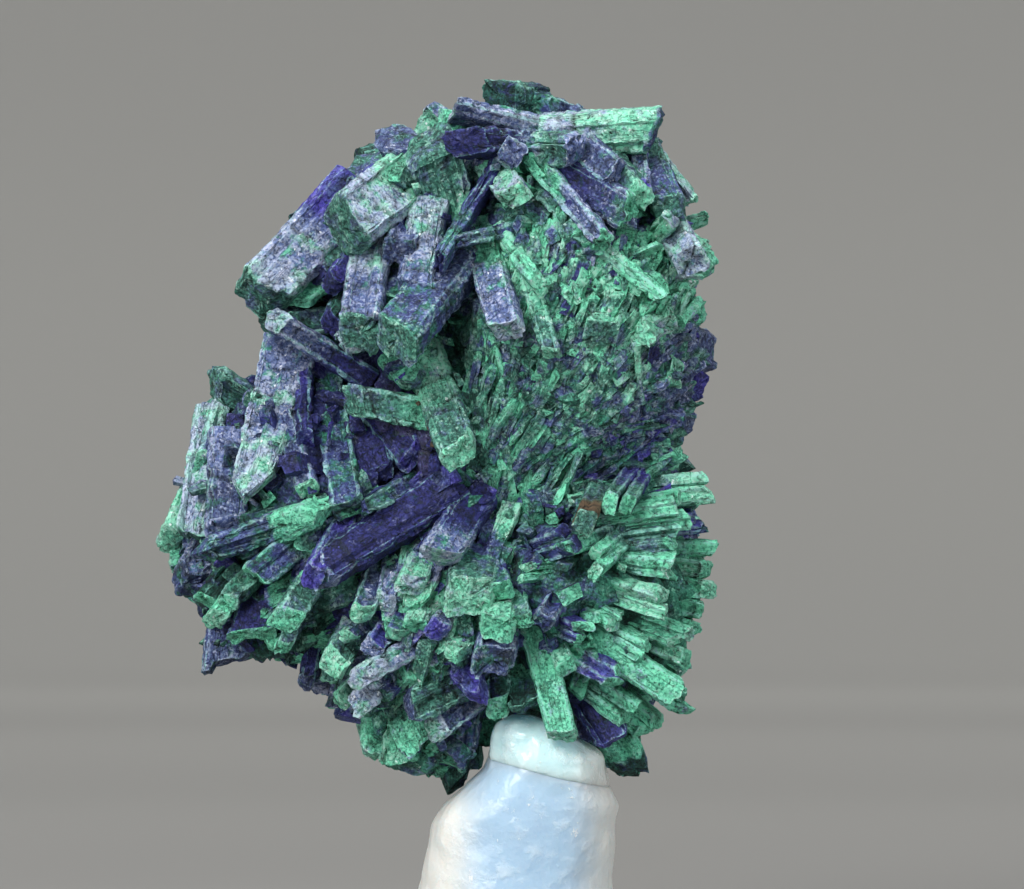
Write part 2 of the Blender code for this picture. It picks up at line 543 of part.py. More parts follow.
def main():
    for old in list(bpy.data.objects):
        bpy.data.objects.remove(old)
    scene = bpy.context.scene
    specimen = collection("azurite_malachite_specimen", scene.collection)
    growths = collection("growths", scene.collection)
    cutters = collection("cutters", scene.collection)

    lumps = [heart(name, *shape) for name, shape in HEARTS.items()]
    for grown in [*lumps[1:], *best_side(), *book(), *sprays(), *fringe()]:
        helper(grown, growths)
    socket = object_of(lambda shape: post_shape(shape, TOUCH_GAP), "socket")
    helper(socket, cutters)

    first = lumps[0]
    specimen.objects.link(first)
    joined = first.modifiers.new("grown together", "BOOLEAN")
    joined.operand_type = "COLLECTION"
    joined.collection = growths
    joined.operation = "UNION"
    pressed = first.modifiers.new("pressed into the tack", "BOOLEAN")
    pressed.object = socket
    pressed.operation = "DIFFERENCE"

    cluster = bpy.data.objects.new("crystal_cluster", outer_skin(first))
    specimen.objects.link(cluster)
    cluster.data.materials.append(material("azurite_malachite", (0.10, 0.28, 0.24), 0.75))
    for used in lumps[:1] + list(growths.objects):
        bpy.data.objects.remove(used)
    bpy.data.collections.remove(growths)

    for name, above, colour, roughness in (
        ("display_post", False, (0.62, 0.72, 0.85), 0.3),
        ("tack_bead", True, (0.62, 0.80, 0.78), 0.2),
    ):
        piece = object_of(post_part(above), name)
        specimen.objects.link(piece)
        piece.data.materials.append(material(name + "_plastic", colour, roughness))
        piece.data.shade_smooth()
        piece.data.set_sharp_from_angle(angle=math.radians(50))


main()
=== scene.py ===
# %% [markdown]
# # An azurite and malachite specimen on its post
# A mineral specimen is hundreds of crystals that grew into each other. Blue azurite
# formed first and green malachite then took its place, so a single crystal is often
# both. This lesson dresses the packed model: it keeps the model's frame and then builds
# every crystal as a surface worked out with numpy.

# %% Load the frame
import math

import bpy
import numpy as np
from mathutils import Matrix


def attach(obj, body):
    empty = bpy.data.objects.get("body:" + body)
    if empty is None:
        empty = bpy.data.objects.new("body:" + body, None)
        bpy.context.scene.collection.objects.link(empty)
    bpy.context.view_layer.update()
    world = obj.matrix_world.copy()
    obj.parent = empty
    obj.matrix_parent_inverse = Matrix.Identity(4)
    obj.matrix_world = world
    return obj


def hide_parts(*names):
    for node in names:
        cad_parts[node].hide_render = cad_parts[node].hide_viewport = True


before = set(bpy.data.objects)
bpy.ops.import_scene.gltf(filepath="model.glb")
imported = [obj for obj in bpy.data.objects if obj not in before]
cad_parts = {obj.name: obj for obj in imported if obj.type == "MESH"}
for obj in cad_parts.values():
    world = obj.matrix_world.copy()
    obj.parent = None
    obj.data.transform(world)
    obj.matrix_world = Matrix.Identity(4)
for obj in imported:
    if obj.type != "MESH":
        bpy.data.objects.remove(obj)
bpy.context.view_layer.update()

# %% [markdown]
# ## One drawing for every place
# The crystals were read off a front drawing, as the solids were: U runs to the
# right, V down and D towards the viewer. One function turns such a place into
# metres. Keeping the drawing's own units makes each row easy to set against the
# real specimen, where typing metres would hide what belongs to what.

# %% From the drawing to metres
SPECIMEN_HEIGHT = 0.043
DRAWN = SPECIMEN_HEIGHT / 36.0
FOOT_U = 25.8
FOOT_D = 1.2
FLOOR_V = 48.0
MM = 0.001


def place(uvd):
    """Drawing to metres: right = U - foot, back = foot - D, up = floor - V, all times one unit's size."""
    u, v, d = np.moveaxis(np.asarray(uvd, float), -1, 0)
    return np.stack([u - FOOT_U, FOOT_D - d, FLOOR_V - v], axis=-1) * DRAWN


print("one drawn unit is", round(DRAWN / MM, 3), "mm")

# %% [markdown]
# ## Hearts and an outline
# Each growth has a rounded heart that its crystals stand on: a ball stretched to
# three half sizes. The outline is what the whole specimen shows from the front. It
# keeps the crystals that are strewn by rule from sticking out past the real ones.
# Balls were chosen because their surface and their inside are each one short sum.

# %% The hearts of the growths and the outline
# each heart: its middle, then its half sizes to the right, down and forward
HEARTS = {
    "upper right": ((28.2, 15.6, 0.0), (6.9, 8.8, 7.9)),
    "upper left": ((20.9, 12.8, 0.0), (5.6, 5.6, 6.2)),
    "left": ((15.7, 25.0, 0.0), (6.7, 6.4, 6.9)),
    "lower right": ((27.8, 29.6, 0.0), (6.8, 6.6, 7.4)),
    "lower middle": ((21.4, 31.0, 0.2), (5.4, 6.0, 7.4)),
    "waist": ((22.3, 21.6, 0.0), (6.0, 6.4, 6.6)),
    "crown": ((27.6, 8.8, 0.8), (5.4, 3.0, 4.8)),
    "right edge": ((32.0, 18.6, 0.2), (3.0, 5.0, 4.4)),
    "left foot": ((13.4, 29.6, 1.6), (3.8, 3.3, 4.0)),
    "lower edge": ((31.0, 30.0, 0.4), (4.0, 4.8, 4.6)),
    "bottom": ((21.0, 35.6, 2.0), (2.8, 3.0, 3.2)),
}
MIDDLES = np.array([middle for middle, half in HEARTS.values()])
HALVES = np.array([half for middle, half in HEARTS.values()])
OUTLINE = np.array([
    (22.3, 5.1), (23.8, 4.0), (25.7, 3.9), (28.7, 5.2), (33.1, 6.3), (33.4, 8.3), (34.5, 9.5),
    (35.5, 10.8), (35.7, 12.5), (35.4, 13.9), (34.9, 14.9), (35.2, 16.6), (35.8, 17.9),
    (35.0, 18.6), (35.0, 20.8), (34.2, 21.6), (34.1, 23.2), (35.7, 24.4), (35.9, 25.9),
    (35.5, 26.9), (35.8, 27.6), (35.6, 30.0), (34.9, 31.2), (34.5, 33.0), (34.7, 35.2),
    (32.9, 35.8), (32.0, 37.1), (31.8, 38.2), (30.7, 39.0), (28.6, 38.4), (24.2, 38.8),
    (22.5, 39.9), (20.1, 38.3), (18.2, 38.2), (17.5, 36.4), (16.0, 35.6), (14.9, 34.1),
    (13.4, 33.0), (10.2, 33.9), (10.0, 32.0), (9.1, 30.0), (8.0, 28.5), (7.8, 27.5),
    (8.3, 26.2), (8.1, 24.2), (9.0, 23.2), (9.0, 20.8), (10.6, 20.0), (10.3, 18.9),
    (12.7, 18.4), (13.7, 16.9), (12.3, 14.8), (12.6, 14.0), (14.1, 12.8), (14.1, 11.6),
    (15.0, 10.5), (16.5, 9.4), (18.0, 8.5), (19.1, 7.7), (19.7, 6.6), (21.8, 6.2),
])


def surface_depth(u, v):
    """The foremost heart's D at a place: middle + half depth times the root of what is left of one."""
    left = 1 - ((u - MIDDLES[:, 0]) / HALVES[:, 0]) ** 2 - ((v - MIDDLES[:, 1]) / HALVES[:, 1]) ** 2
    return max(0.0, (MIDDLES[:, 2] + HALVES[:, 2] * np.sqrt(np.maximum(left, 0))).max())


def inside_outline(point):
    """A place is inside where a line from it to the right crosses the outline an odd number of times."""
    a, b = OUTLINE, np.roll(OUTLINE, -1, axis=0)
    passes = (b[:, 1] > point[1]) != (a[:, 1] > point[1])
    rise = np.where(passes, b[:, 1] - a[:, 1], 1)
    crossing = a[:, 0] + (point[1] - a[:, 1]) / rise * (b[:, 0] - a[:, 0])
    return (passes & (point[0] < crossing)).sum() % 2 == 1


print(len(HEARTS), "hearts inside an outline of", len(OUTLINE), "points")

# %% [markdown]
# ## The colours of a crystal
# A mineral's colour isn't one paint. Each crystal carries five weights instead: how
# much of it is azurite, how light it is, how much pale powder lies on it, how greyed
# it is and how much brown rock is in it. The material reads the weights later and
# breaks them up with noise. A letter names each usual blend, so a row says its root,
# its tip and its end face in three letters.

# %% Blends: azurite, lightness, powder, grey, rock
BLENDS = {
    "G": (0.05, 0.88, 0.18, 0.08, 0.0),
    "g": (0.32, 0.50, 0.28, 0.60, 0.0),
    "D": (0.26, 0.18, 0.00, 0.35, 0.0),
    "M": (0.10, 0.95, 0.65, 0.25, 0.0),
    "B": (0.92, 0.18, 0.00, 0.08, 0.0),
    "V": (1.22, 0.52, 0.10, 0.00, 0.0),
    "S": (0.70, 0.44, 0.36, 0.50, 0.0),
    "L": (0.82, 0.66, 0.55, 0.25, 0.0),
    "W": (0.58, 0.88, 0.90, 0.40, 0.0),
    "T": (0.54, 0.44, 0.25, 0.20, 0.0),
    "N": (0.10, 0.30, 0.10, 0.30, 1.0),
}
WEIGHTS = len(BLENDS["G"])
print(len(BLENDS), "blends:", "".join(BLENDS))

# %% [markdown]
# ## The crystals of the best side
# Each row is one crystal that can be told apart on the real specimen: its tip, its
# root, its width and thickness, its roll in degrees, how pointed it is, and its
# blends. A scatter could fill the same space in a few lines, but a collector knows a
# specimen by its crystals, so these are placed one by one, as in the solids.

# %% The upper left growth and the top
UPPER_LEFT = [
    (12.9, 15.1, 5.5, 17.8, 9.6, 2.0, 3.0, 2.6, 0, 0.1, "VWg"),
    (17.2, 11.7, 8.2, 21.0, 8.6, 2.5, 3.1, 3.0, 0, 0.1, "MWg"),
    (18.1, 16.9, 9.0, 18.8, 11.4, 6.0, 2.1, 2.1, 5, 0.0, "WLg"),
    (19.9, 12.9, 7.8, 21.0, 11.0, 4.0, 1.6, 1.6, 20, 0.1, "VLS"),
    (20.8, 14.9, 8.0, 21.5, 10.4, 5.0, 1.9, 1.7, 0, 0.0, "WLS"),
    (19.8, 17.3, 10.3, 23.5, 12.4, 6.4, 2.6, 2.0, 25, 0.0, "STg"),
    (21.9, 13.6, 8.6, 24.8, 8.6, 5.0, 0.7, 2.9, 8, 0.2, "BTB"),
    (19.7, 6.9, 3.8, 21.9, 9.9, 2.6, 2.0, 2.2, 0, 0.0, "MSS"),
    (21.5, 7.1, 5.6, 22.6, 11.2, 3.8, 2.7, 2.3, 0, 0.0, "Mgg"),
    (19.7, 8.6, 6.6, 21.2, 10.0, 3.0, 1.2, 1.2, 30, 0.3, "ggG"),
    (18.2, 8.5, 4.0, 20.4, 10.6, 2.0, 1.5, 1.4, 10, 0.2, "VSV"),
    (16.9, 9.2, 3.0, 19.6, 11.4, 1.5, 1.7, 1.6, 0, 0.2, "BVS"),
    (16.7, 10.3, 4.0, 19.2, 11.8, 2.4, 1.5, 1.3, 0, 0.1, "SgB"),
    (14.1, 11.4, 2.0, 17.9, 11.2, 1.0, 2.2, 1.0, 10, 0.4, "gDD"),
    (16.4, 14.6, 6.4, 18.2, 12.6, 3.0, 1.5, 1.4, 0, 0.5, "BVB"),
    (14.3, 15.4, 5.2, 17.8, 13.0, 3.0, 1.7, 0.9, 35, 0.4, "TGG"),
    (15.7, 13.5, 4.8, 18.0, 11.6, 3.0, 1.8, 1.3, 0, 0.1, "DgB"),
    (16.7, 16.5, 5.6, 18.6, 13.6, 3.4, 1.8, 1.4, 0, 0.2, "TDB"),
    (19.4, 15.4, 7.4, 20.4, 12.6, 4.4, 1.5, 1.4, 15, 0.3, "gTG"),
    (17.0, 17.4, 7.4, 20.0, 16.0, 5.0, 1.7, 1.4, 0, 0.4, "BSW"),
    (13.0, 15.8, 4.6, 16.8, 16.6, 2.6, 1.7, 1.6, 0, 0.3, "gTD"),
    (14.0, 16.4, 5.4, 17.4, 16.2, 3.4, 1.5, 1.5, 20, 0.3, "DgG"),
    (13.4, 14.9, 2.6, 17.0, 15.4, 1.6, 2.0, 1.6, 0, 0.3, "DDg"),
]
TOP = [
    (24.9, 4.9, 3.6, 26.6, 5.2, 1.0, 2.1, 2.1, 0, 0.3, "DgD"),
    (26.4, 5.0, 3.2, 28.4, 5.9, 0.6, 1.3, 1.9, 15, 0.5, "SgT"),
    (28.4, 5.3, 2.6, 29.4, 6.3, 0.6, 1.1, 1.7, 0, 0.6, "gTS"),
    (22.5, 5.7, 4.2, 27.8, 6.9, 1.6, 1.0, 4.4, 12, 0.1, "WLW"),
    (22.3, 6.3, 3.0, 24.8, 7.6, 1.6, 2.0, 2.3, 0, 0.3, "MMG"),
    (22.9, 7.3, 7.0, 26.2, 7.5, 4.2, 1.3, 2.6, 12, 0.1, "SBB"),
    (25.7, 7.9, 7.4, 25.2, 7.6, 3.0, 1.6, 1.6, 0, 0.3, "LWS"),
    (33.0, 6.6, 4.2, 27.2, 6.9, 3.4, 2.3, 3.6, 6, 0.0, "WMT"),
    (28.8, 7.7, 6.8, 26.0, 7.4, 3.6, 1.9, 2.1, 20, 0.2, "WgL"),
    (30.8, 9.1, 7.1, 28.6, 7.0, 4.0, 1.7, 1.4, 0, 0.1, "LSL"),
    (31.7, 10.3, 6.8, 29.8, 7.8, 4.0, 1.9, 1.4, 10, 0.1, "ggM"),
    (33.4, 10.7, 6.0, 32.0, 7.6, 2.8, 2.1, 1.8, -10, 0.2, "gTg"),
    (32.1, 10.0, 6.6, 31.9, 7.2, 4.0, 0.9, 1.6, 0, 0.1, "VLV"),
    (34.6, 10.3, 2.6, 32.9, 8.0, 1.4, 1.0, 2.3, 0, 0.1, "WWM"),
    (31.6, 10.9, 7.5, 28.0, 8.9, 5.4, 2.2, 1.7, 10, 0.1, "BSG"),
    (30.5, 12.7, 8.8, 26.2, 7.3, 7.0, 1.2, 1.7, 12, 0.6, "GLG"),
    (29.8, 12.6, 8.0, 27.4, 9.9, 6.4, 1.1, 1.3, 0, 0.1, "ggG"),
    (25.9, 10.2, 7.8, 24.6, 8.4, 4.8, 1.6, 1.4, 0, 0.2, "MWM"),
]
print(len(UPPER_LEFT), "crystals at the upper left and", len(TOP), "at the top")

# %% The upper middle and the left growth
UPPER_MIDDLE = [
    (25.4, 16.8, 9.8, 24.0, 11.5, 6.4, 1.9, 1.5, 14, 0.2, "GLW"),
    (22.8, 12.3, 8.8, 25.4, 11.6, 5.6, 0.7, 1.3, 0, 0.2, "TgT"),
    (27.1, 14.6, 9.2, 25.1, 11.8, 6.6, 0.9, 1.6, 0, 0.3, "MGM"),
    (27.6, 18.0, 9.2, 26.2, 13.2, 6.8, 1.0, 1.3, 0, 0.1, "MgM"),
    (28.8, 15.1, 8.7, 27.7, 13.8, 6.2, 1.1, 1.2, 0, 0.5, "gGM"),
    (33.1, 15.1, 7.4, 30.0, 12.5, 6.6, 0.8, 2.1, 0, 0.2, "MGG"),
    (32.0, 15.2, 6.8, 31.0, 13.4, 4.6, 1.6, 1.3, 0, 0.1, "gDg"),
    (29.9, 17.0, 8.6, 30.4, 15.0, 5.6, 1.7, 1.6, 0, 0.1, "gMg"),
    (32.0, 16.9, 7.6, 33.0, 15.9, 4.6, 1.3, 1.2, 0, 0.1, "WMM"),
    (33.2, 16.5, 7.0, 32.9, 15.4, 4.4, 1.2, 1.2, 0, 0.1, "MMW"),
    (34.5, 13.4, 6.8, 33.2, 11.0, 3.4, 1.7, 1.7, 0, 0.1, "WWW"),
    (33.6, 10.9, 6.6, 32.4, 12.2, 4.0, 1.2, 1.2, 0, 0.3, "MMW"),
    (35.8, 10.7, 1.2, 33.0, 11.7, 0.4, 0.9, 1.8, 0, 0.7, "GMG"),
    (35.7, 13.1, 1.6, 32.8, 13.2, 0.4, 2.1, 2.0, 0, 0.4, "VGG"),
    (34.5, 14.1, 5.2, 33.0, 17.0, 3.6, 0.8, 1.6, 0, 0.7, "MMG"),
    (35.0, 15.6, 2.8, 33.0, 16.2, 1.0, 1.3, 1.8, 0, 0.2, "SgG"),
    (35.7, 17.6, 1.6, 33.0, 17.0, 0.4, 2.4, 2.5, 0, 0.2, "LVS"),
    (35.0, 19.4, 1.8, 32.4, 18.8, 0.4, 2.0, 2.1, 0, 0.2, "SLV"),
    (34.8, 21.3, 1.2, 31.6, 20.4, 0.2, 1.7, 2.0, 0, 0.3, "VLS"),
    (34.2, 23.0, 1.6, 31.0, 22.0, 0.4, 1.6, 1.8, 0, 0.2, "MGM"),
    (33.8, 18.7, 5.0, 32.0, 17.9, 2.6, 1.8, 1.6, 0, 0.2, "MgM"),
    (32.8, 18.0, 6.4, 31.0, 17.0, 4.0, 1.3, 1.3, 20, 0.3, "VgB"),
]
LEFT = [
    (10.7, 19.1, 2.0, 14.0, 21.2, 0.6, 2.0, 2.1, 0, 0.2, "Dgg"),
    (12.5, 25.2, 8.0, 14.9, 16.8, 4.4, 3.2, 1.8, 8, 0.7, "LWW"),
    (9.6, 27.1, 4.8, 10.5, 20.6, 2.0, 1.6, 2.1, 0, 0.2, "WWg"),
    (10.2, 23.5, 3.8, 11.0, 20.5, 1.6, 1.0, 2.1, 0, 0.0, "WSM"),
    (11.4, 26.7, 6.6, 11.5, 21.8, 3.6, 2.1, 1.8, 0, 0.1, "LSL"),
    (8.3, 27.4, 2.4, 10.2, 23.4, 1.0, 1.3, 2.2, 0, 0.3, "gMM"),
    (9.2, 29.3, 3.8, 11.3, 26.0, 1.8, 2.1, 2.1, 0, 0.4, "VLS"),
    (7.9, 28.3, 1.2, 11.0, 27.2, 0.2, 1.7, 2.0, 0, 0.4, "MGM"),
    (8.9, 29.9, 2.0, 11.5, 27.6, 0.8, 1.6, 1.8, 0, 0.3, "VBT"),
    (13.7, 15.9, 6.6, 18.4, 18.9, 4.6, 1.3, 1.7, 0, 0.2, "BLW"),
    (15.4, 22.1, 6.8, 15.2, 17.8, 4.0, 0.9, 1.8, 0, 0.1, "VBV"),
    (15.7, 24.8, 7.4, 14.4, 21.0, 4.8, 1.3, 1.6, 10, 0.3, "SLM"),
    (17.6, 25.6, 8.2, 16.2, 18.4, 5.4, 1.7, 1.7, 0, 0.1, "TTg"),
    (18.7, 24.0, 6.4, 17.4, 20.2, 4.6, 2.6, 1.0, 0, 0.1, "VBB"),
    (20.7, 22.9, 6.5, 18.8, 20.4, 4.6, 1.9, 1.0, 0, 0.2, "BBV"),
    (17.5, 20.0, 7.2, 22.6, 21.0, 5.4, 1.6, 1.7, 0, 0.1, "Ggg"),
    (23.0, 22.8, 9.2, 21.0, 17.4, 5.8, 2.2, 1.7, 0, 0.2, "MgM"),
    (21.0, 19.4, 7.2, 20.0, 17.9, 4.6, 2.0, 1.3, 0, 0.5, "GGg"),
    (18.1, 25.4, 8.2, 20.8, 24.0, 5.6, 1.0, 1.2, 0, 0.2, "TgT"),
    (15.9, 28.6, 8.6, 22.9, 24.3, 7.4, 2.3, 1.8, 15, 0.3, "BBL"),
    (15.7, 28.9, 9.2, 17.6, 25.4, 6.4, 1.1, 1.4, 0, 0.1, "VVV"),
    (10.0, 27.6, 7.2, 16.6, 25.4, 6.8, 1.8, 2.1, 0, 0.5, "gTT"),
    (16.6, 25.3, 8.8, 12.6, 27.0, 6.2, 2.0, 2.1, 0, 0.6, "TGG"),
    (12.7, 28.9, 7.8, 15.7, 26.6, 5.8, 1.7, 1.4, 0, 0.2, "gTG"),
]
print(len(UPPER_MIDDLE), "crystals in the upper middle and", len(LEFT), "on the left")

# %% The lower left and lower middle growths
LOWER_LEFT = [
    (10.8, 31.0, 6.6, 13.2, 27.8, 4.4, 1.0, 1.4, 0, 0.1, "GGM"),
    (11.4, 30.2, 7.0, 13.4, 28.2, 4.6, 1.0, 1.2, 30, 0.1, "GgG"),
    (10.3, 30.3, 5.2, 12.8, 27.4, 3.0, 1.7, 1.7, 0, 0.2, "gDG"),
    (14.4, 31.0, 8.8, 16.2, 28.2, 5.8, 1.5, 1.4, 0, 0.0, "GgG"),
    (12.6, 31.9, 6.4, 14.2, 27.6, 4.0, 2.4, 1.0, 15, 0.0, "BBG"),
    (14.2, 32.6, 7.0, 15.8, 28.8, 4.6, 1.0, 1.2, 0, 0.4, "DgG"),
    (13.5, 32.4, 5.8, 15.0, 28.8, 3.8, 1.0, 1.2, 0, 0.2, "DGG"),
    (11.3, 33.4, 3.4, 11.8, 28.4, 2.2, 2.3, 1.3, 0, 0.0, "BSS"),
    (12.8, 32.9, 2.4, 14.4, 28.6, 1.4, 1.5, 1.2, 0, 0.3, "SVT"),
    (15.3, 34.4, 4.6, 16.2, 29.8, 3.2, 1.0, 1.6, 0, 0.3, "BBS"),
    (16.5, 34.2, 4.2, 17.0, 30.0, 3.0, 1.0, 1.4, 0, 0.2, "SgM"),
    (16.7, 33.3, 8.0, 18.0, 30.8, 5.0, 1.5, 1.3, 0, 0.2, "WgM"),
]
LOWER_MIDDLE = [
    (18.0, 31.0, 8.8, 19.4, 27.4, 5.8, 1.5, 1.3, 0, 0.5, "gSM"),
    (19.3, 30.4, 8.6, 20.0, 27.2, 5.8, 1.3, 1.3, 0, 0.5, "gLW"),
    (20.5, 29.3, 8.9, 21.8, 26.4, 6.0, 1.5, 1.2, 0, 0.2, "LMW"),
    (21.9, 27.8, 9.2, 23.9, 24.8, 6.2, 2.1, 1.6, 0, 0.1, "BLW"),
    (23.5, 29.9, 9.4, 23.9, 27.6, 5.0, 2.9, 2.0, 0, 0.2, "TgM"),
    (25.0, 29.5, 8.8, 24.4, 27.8, 5.0, 1.5, 1.4, 0, 0.2, "BTG"),
    (19.8, 31.9, 9.0, 20.6, 29.6, 5.6, 1.5, 1.3, 0, 0.5, "BTM"),
    (20.7, 31.3, 8.9, 21.6, 29.2, 5.6, 1.2, 1.2, 0, 0.2, "gMG"),
    (18.6, 32.4, 8.8, 19.8, 30.8, 5.6, 1.3, 1.2, 0, 0.3, "VVL"),
    (17.4, 31.8, 8.2, 19.0, 30.6, 5.4, 1.0, 1.0, 0, 0.3, "gSM"),
    (17.9, 33.7, 8.8, 22.0, 31.5, 6.4, 1.1, 1.4, 0, 0.1, "LWW"),
    (21.8, 31.4, 9.1, 22.8, 30.0, 5.6, 1.1, 1.2, 0, 0.2, "LLV"),
    (22.9, 32.7, 9.1, 23.1, 31.0, 5.6, 1.9, 1.3, 0, 0.6, "GMM"),
    (24.9, 31.3, 9.3, 25.1, 29.4, 5.6, 2.0, 1.6, 0, 0.2, "gMG"),
    (24.6, 33.0, 9.1, 25.0, 31.0, 5.6, 2.2, 1.6, 0, 0.1, "TLS"),
    (26.2, 31.1, 9.2, 25.6, 29.2, 5.6, 1.2, 1.2, 0, 0.3, "GgG"),
    (24.2, 34.8, 8.6, 22.5, 32.4, 5.6, 2.0, 1.4, 0, 0.8, "LVV"),
    (16.8, 35.2, 5.8, 18.8, 33.2, 3.4, 1.3, 1.4, 0, 0.4, "DMM"),
    (18.0, 35.0, 7.6, 20.0, 33.2, 4.8, 1.3, 1.3, 0, 0.1, "LWW"),
    (20.4, 35.1, 7.4, 23.8, 33.6, 5.2, 2.1, 1.4, 0, 0.2, "ggS"),
    (21.4, 37.3, 5.8, 19.8, 33.4, 4.2, 2.8, 1.3, 0, 0.2, "gGg"),
    (18.9, 37.9, 3.8, 19.4, 33.6, 3.0, 2.1, 1.6, 0, 0.2, "gGM"),
    (19.8, 38.2, 4.8, 20.4, 34.4, 3.4, 1.9, 1.4, 0, 0.1, "gMG"),
    (21.6, 36.4, 6.8, 23.8, 34.6, 4.2, 1.5, 1.3, 0, 0.2, "LSW"),
    (22.4, 39.7, 1.4, 23.2, 35.0, 1.0, 2.2, 1.8, 0, 0.6, "DgD"),
    (21.7, 39.0, 2.0, 22.6, 34.8, 1.4, 1.6, 1.4, 0, 0.3, "gLG"),
    (23.2, 38.3, 4.2, 23.6, 34.6, 3.2, 1.3, 1.3, 0, 0.3, "TLg"),
    (24.3, 37.3, -2.2, 24.0, 33.8, 0.4, 1.8, 1.6, 0, 0.2, "gGD"),
    (23.3, 38.7, -3.2, 23.3, 34.4, -0.8, 1.7, 1.3, 0, 0.2, "DgD"),
    (24.9, 35.5, 7.2, 24.9, 33.2, 4.8, 1.3, 1.3, 0, 0.3, "gDG"),
    (26.2, 35.3, 7.0, 26.2, 33.2, 4.8, 2.0, 1.3, 0, 0.3, "GDg"),
]
print(len(LOWER_LEFT), "crystals at the lower left and", len(LOWER_MIDDLE), "in the lower middle")

# %% The green fan at the lower right
RIGHT_FAN = [
    (34.9, 25.4, 5.4, 29.6, 26.2, 4.8, 1.5, 1.4, 0, 0.1, "GGM"),
    (35.8, 24.7, 2.4, 31.8, 25.0, 1.6, 0.9, 1.6, 0, 0.2, "GMM"),
    (35.3, 23.9, 2.0, 31.6, 24.2, 1.4, 0.7, 1.6, 0, 0.2, "gMG"),
    (34.1, 24.8, 4.6, 31.4, 25.4, 3.2, 0.9, 1.3, 0, 0.2, "GGM"),
    (35.8, 25.9, 2.4, 32.4, 26.4, 1.6, 1.2, 1.6, 0, 0.3, "GVT"),
    (34.6, 26.6, 5.8, 29.6, 27.2, 5.2, 1.3, 1.3, 0, 0.1, "DgG"),
    (29.1, 28.5, 8.4, 31.6, 26.5, 5.4, 1.3, 1.2, 0, 0.2, "gGM"),
    (34.2, 28.3, 6.0, 29.6, 27.8, 5.4, 1.2, 1.3, 0, 0.1, "gGM"),
    (33.7, 30.3, 6.6, 29.0, 28.8, 5.8, 1.3, 1.3, 0, 0.2, "GMM"),
    (35.9, 27.4, 2.0, 32.0, 27.4, 1.4, 0.9, 1.7, 0, 0.2, "GGG"),
    (35.6, 28.5, 2.2, 31.8, 28.2, 1.4, 0.9, 1.6, 0, 0.2, "GMG"),
    (35.7, 29.5, 2.6, 31.8, 29.0, 1.6, 0.9, 1.7, 0, 0.2, "gGM"),
    (35.3, 30.5, 2.4, 31.6, 29.8, 1.6, 0.9, 1.6, 0, 0.2, "GGM"),
    (34.9, 31.5, 2.6, 31.2, 30.4, 1.6, 0.9, 1.7, 0, 0.2, "gGG"),
    (31.3, 31.2, 7.3, 28.0, 29.3, 5.4, 1.2, 1.2, 0, 0.2, "VGM"),
    (34.7, 32.0, 5.0, 30.4, 30.4, 4.4, 1.1, 1.3, 0, 0.1, "GGM"),
    (33.0, 32.8, 6.4, 29.2, 30.8, 5.2, 1.2, 1.2, 0, 0.1, "gGG"),
    (34.5, 33.0, 4.6, 30.8, 31.2, 3.8, 1.0, 1.3, 0, 0.1, "GMG"),
    (34.1, 34.8, 6.0, 29.4, 31.8, 5.6, 1.6, 1.3, 0, 0.2, "GGM"),
    (31.3, 34.0, 7.4, 27.8, 32.0, 5.4, 1.3, 1.2, 0, 0.3, "GVG"),
    (29.8, 31.8, 8.2, 27.2, 30.8, 5.6, 1.3, 1.2, 0, 0.4, "gVG"),
    (28.2, 36.9, 7.3, 26.7, 31.2, 5.8, 1.6, 1.3, 0, 0.1, "GGM"),
    (28.3, 33.4, 7.7, 27.5, 31.4, 5.4, 1.0, 1.0, 0, 0.1, "GMG"),
    (32.0, 35.9, 5.8, 28.8, 33.6, 4.2, 1.5, 1.3, 0, 0.2, "gGG"),
    (33.0, 36.7, 3.6, 29.4, 33.6, 2.6, 1.5, 1.6, 0, 0.2, "GGG"),
    (30.8, 37.1, 5.2, 28.8, 34.0, 3.6, 1.7, 1.4, 0, 0.1, "BBV"),
    (29.9, 38.0, -2.6, 29.2, 34.2, -0.6, 1.7, 1.4, 0, 0.2, "BgD"),
    (25.7, 28.6, 8.8, 28.8, 28.2, 5.4, 1.1, 1.1, 0, 0.5, "gGM"),
    (27.9, 27.5, 8.6, 30.4, 26.6, 5.2, 0.9, 1.1, 0, 0.4, "gGT"),
    (31.6, 38.6, 2.8, 29.2, 34.0, 1.8, 1.9, 1.8, 0, 0.2, "gGD"),
    (34.6, 35.4, 4.2, 31.0, 32.8, 3.2, 1.2, 1.4, 0, 0.2, "gGG"),
    (27.0, 31.0, 9.2, 28.0, 29.6, 5.8, 1.0, 1.0, 0, 0.2, "VLT"),
    (28.9, 26.6, 8.2, 25.6, 27.8, 5.2, 1.5, 1.2, 0, 0.2, "BTB"),
    (30.5, 25.6, 8.0, 31.9, 23.8, 5.2, 1.5, 1.3, 0, 0.2, "VgG"),
    (29.1, 26.1, 8.4, 29.7, 24.6, 5.2, 1.0, 1.2, 0, 0.1, "gNg"),
]
print(len(RIGHT_FAN), "crystals in the fan")

# %% [markdown]
# ## Grain that numpy can work out
# Pits, ledges and streaks are real shape on this specimen, a tenth of a millimetre
# deep, so they go into the mesh and not only into the material. Value noise is
# enough for them: a random number on each corner of a lattice, blended smoothly
# between corners. It takes whole arrays, gives the same numbers on every run and
# needs no texture.

# %% Value noise
LATTICE = (73856093, 19349663, 83492791)


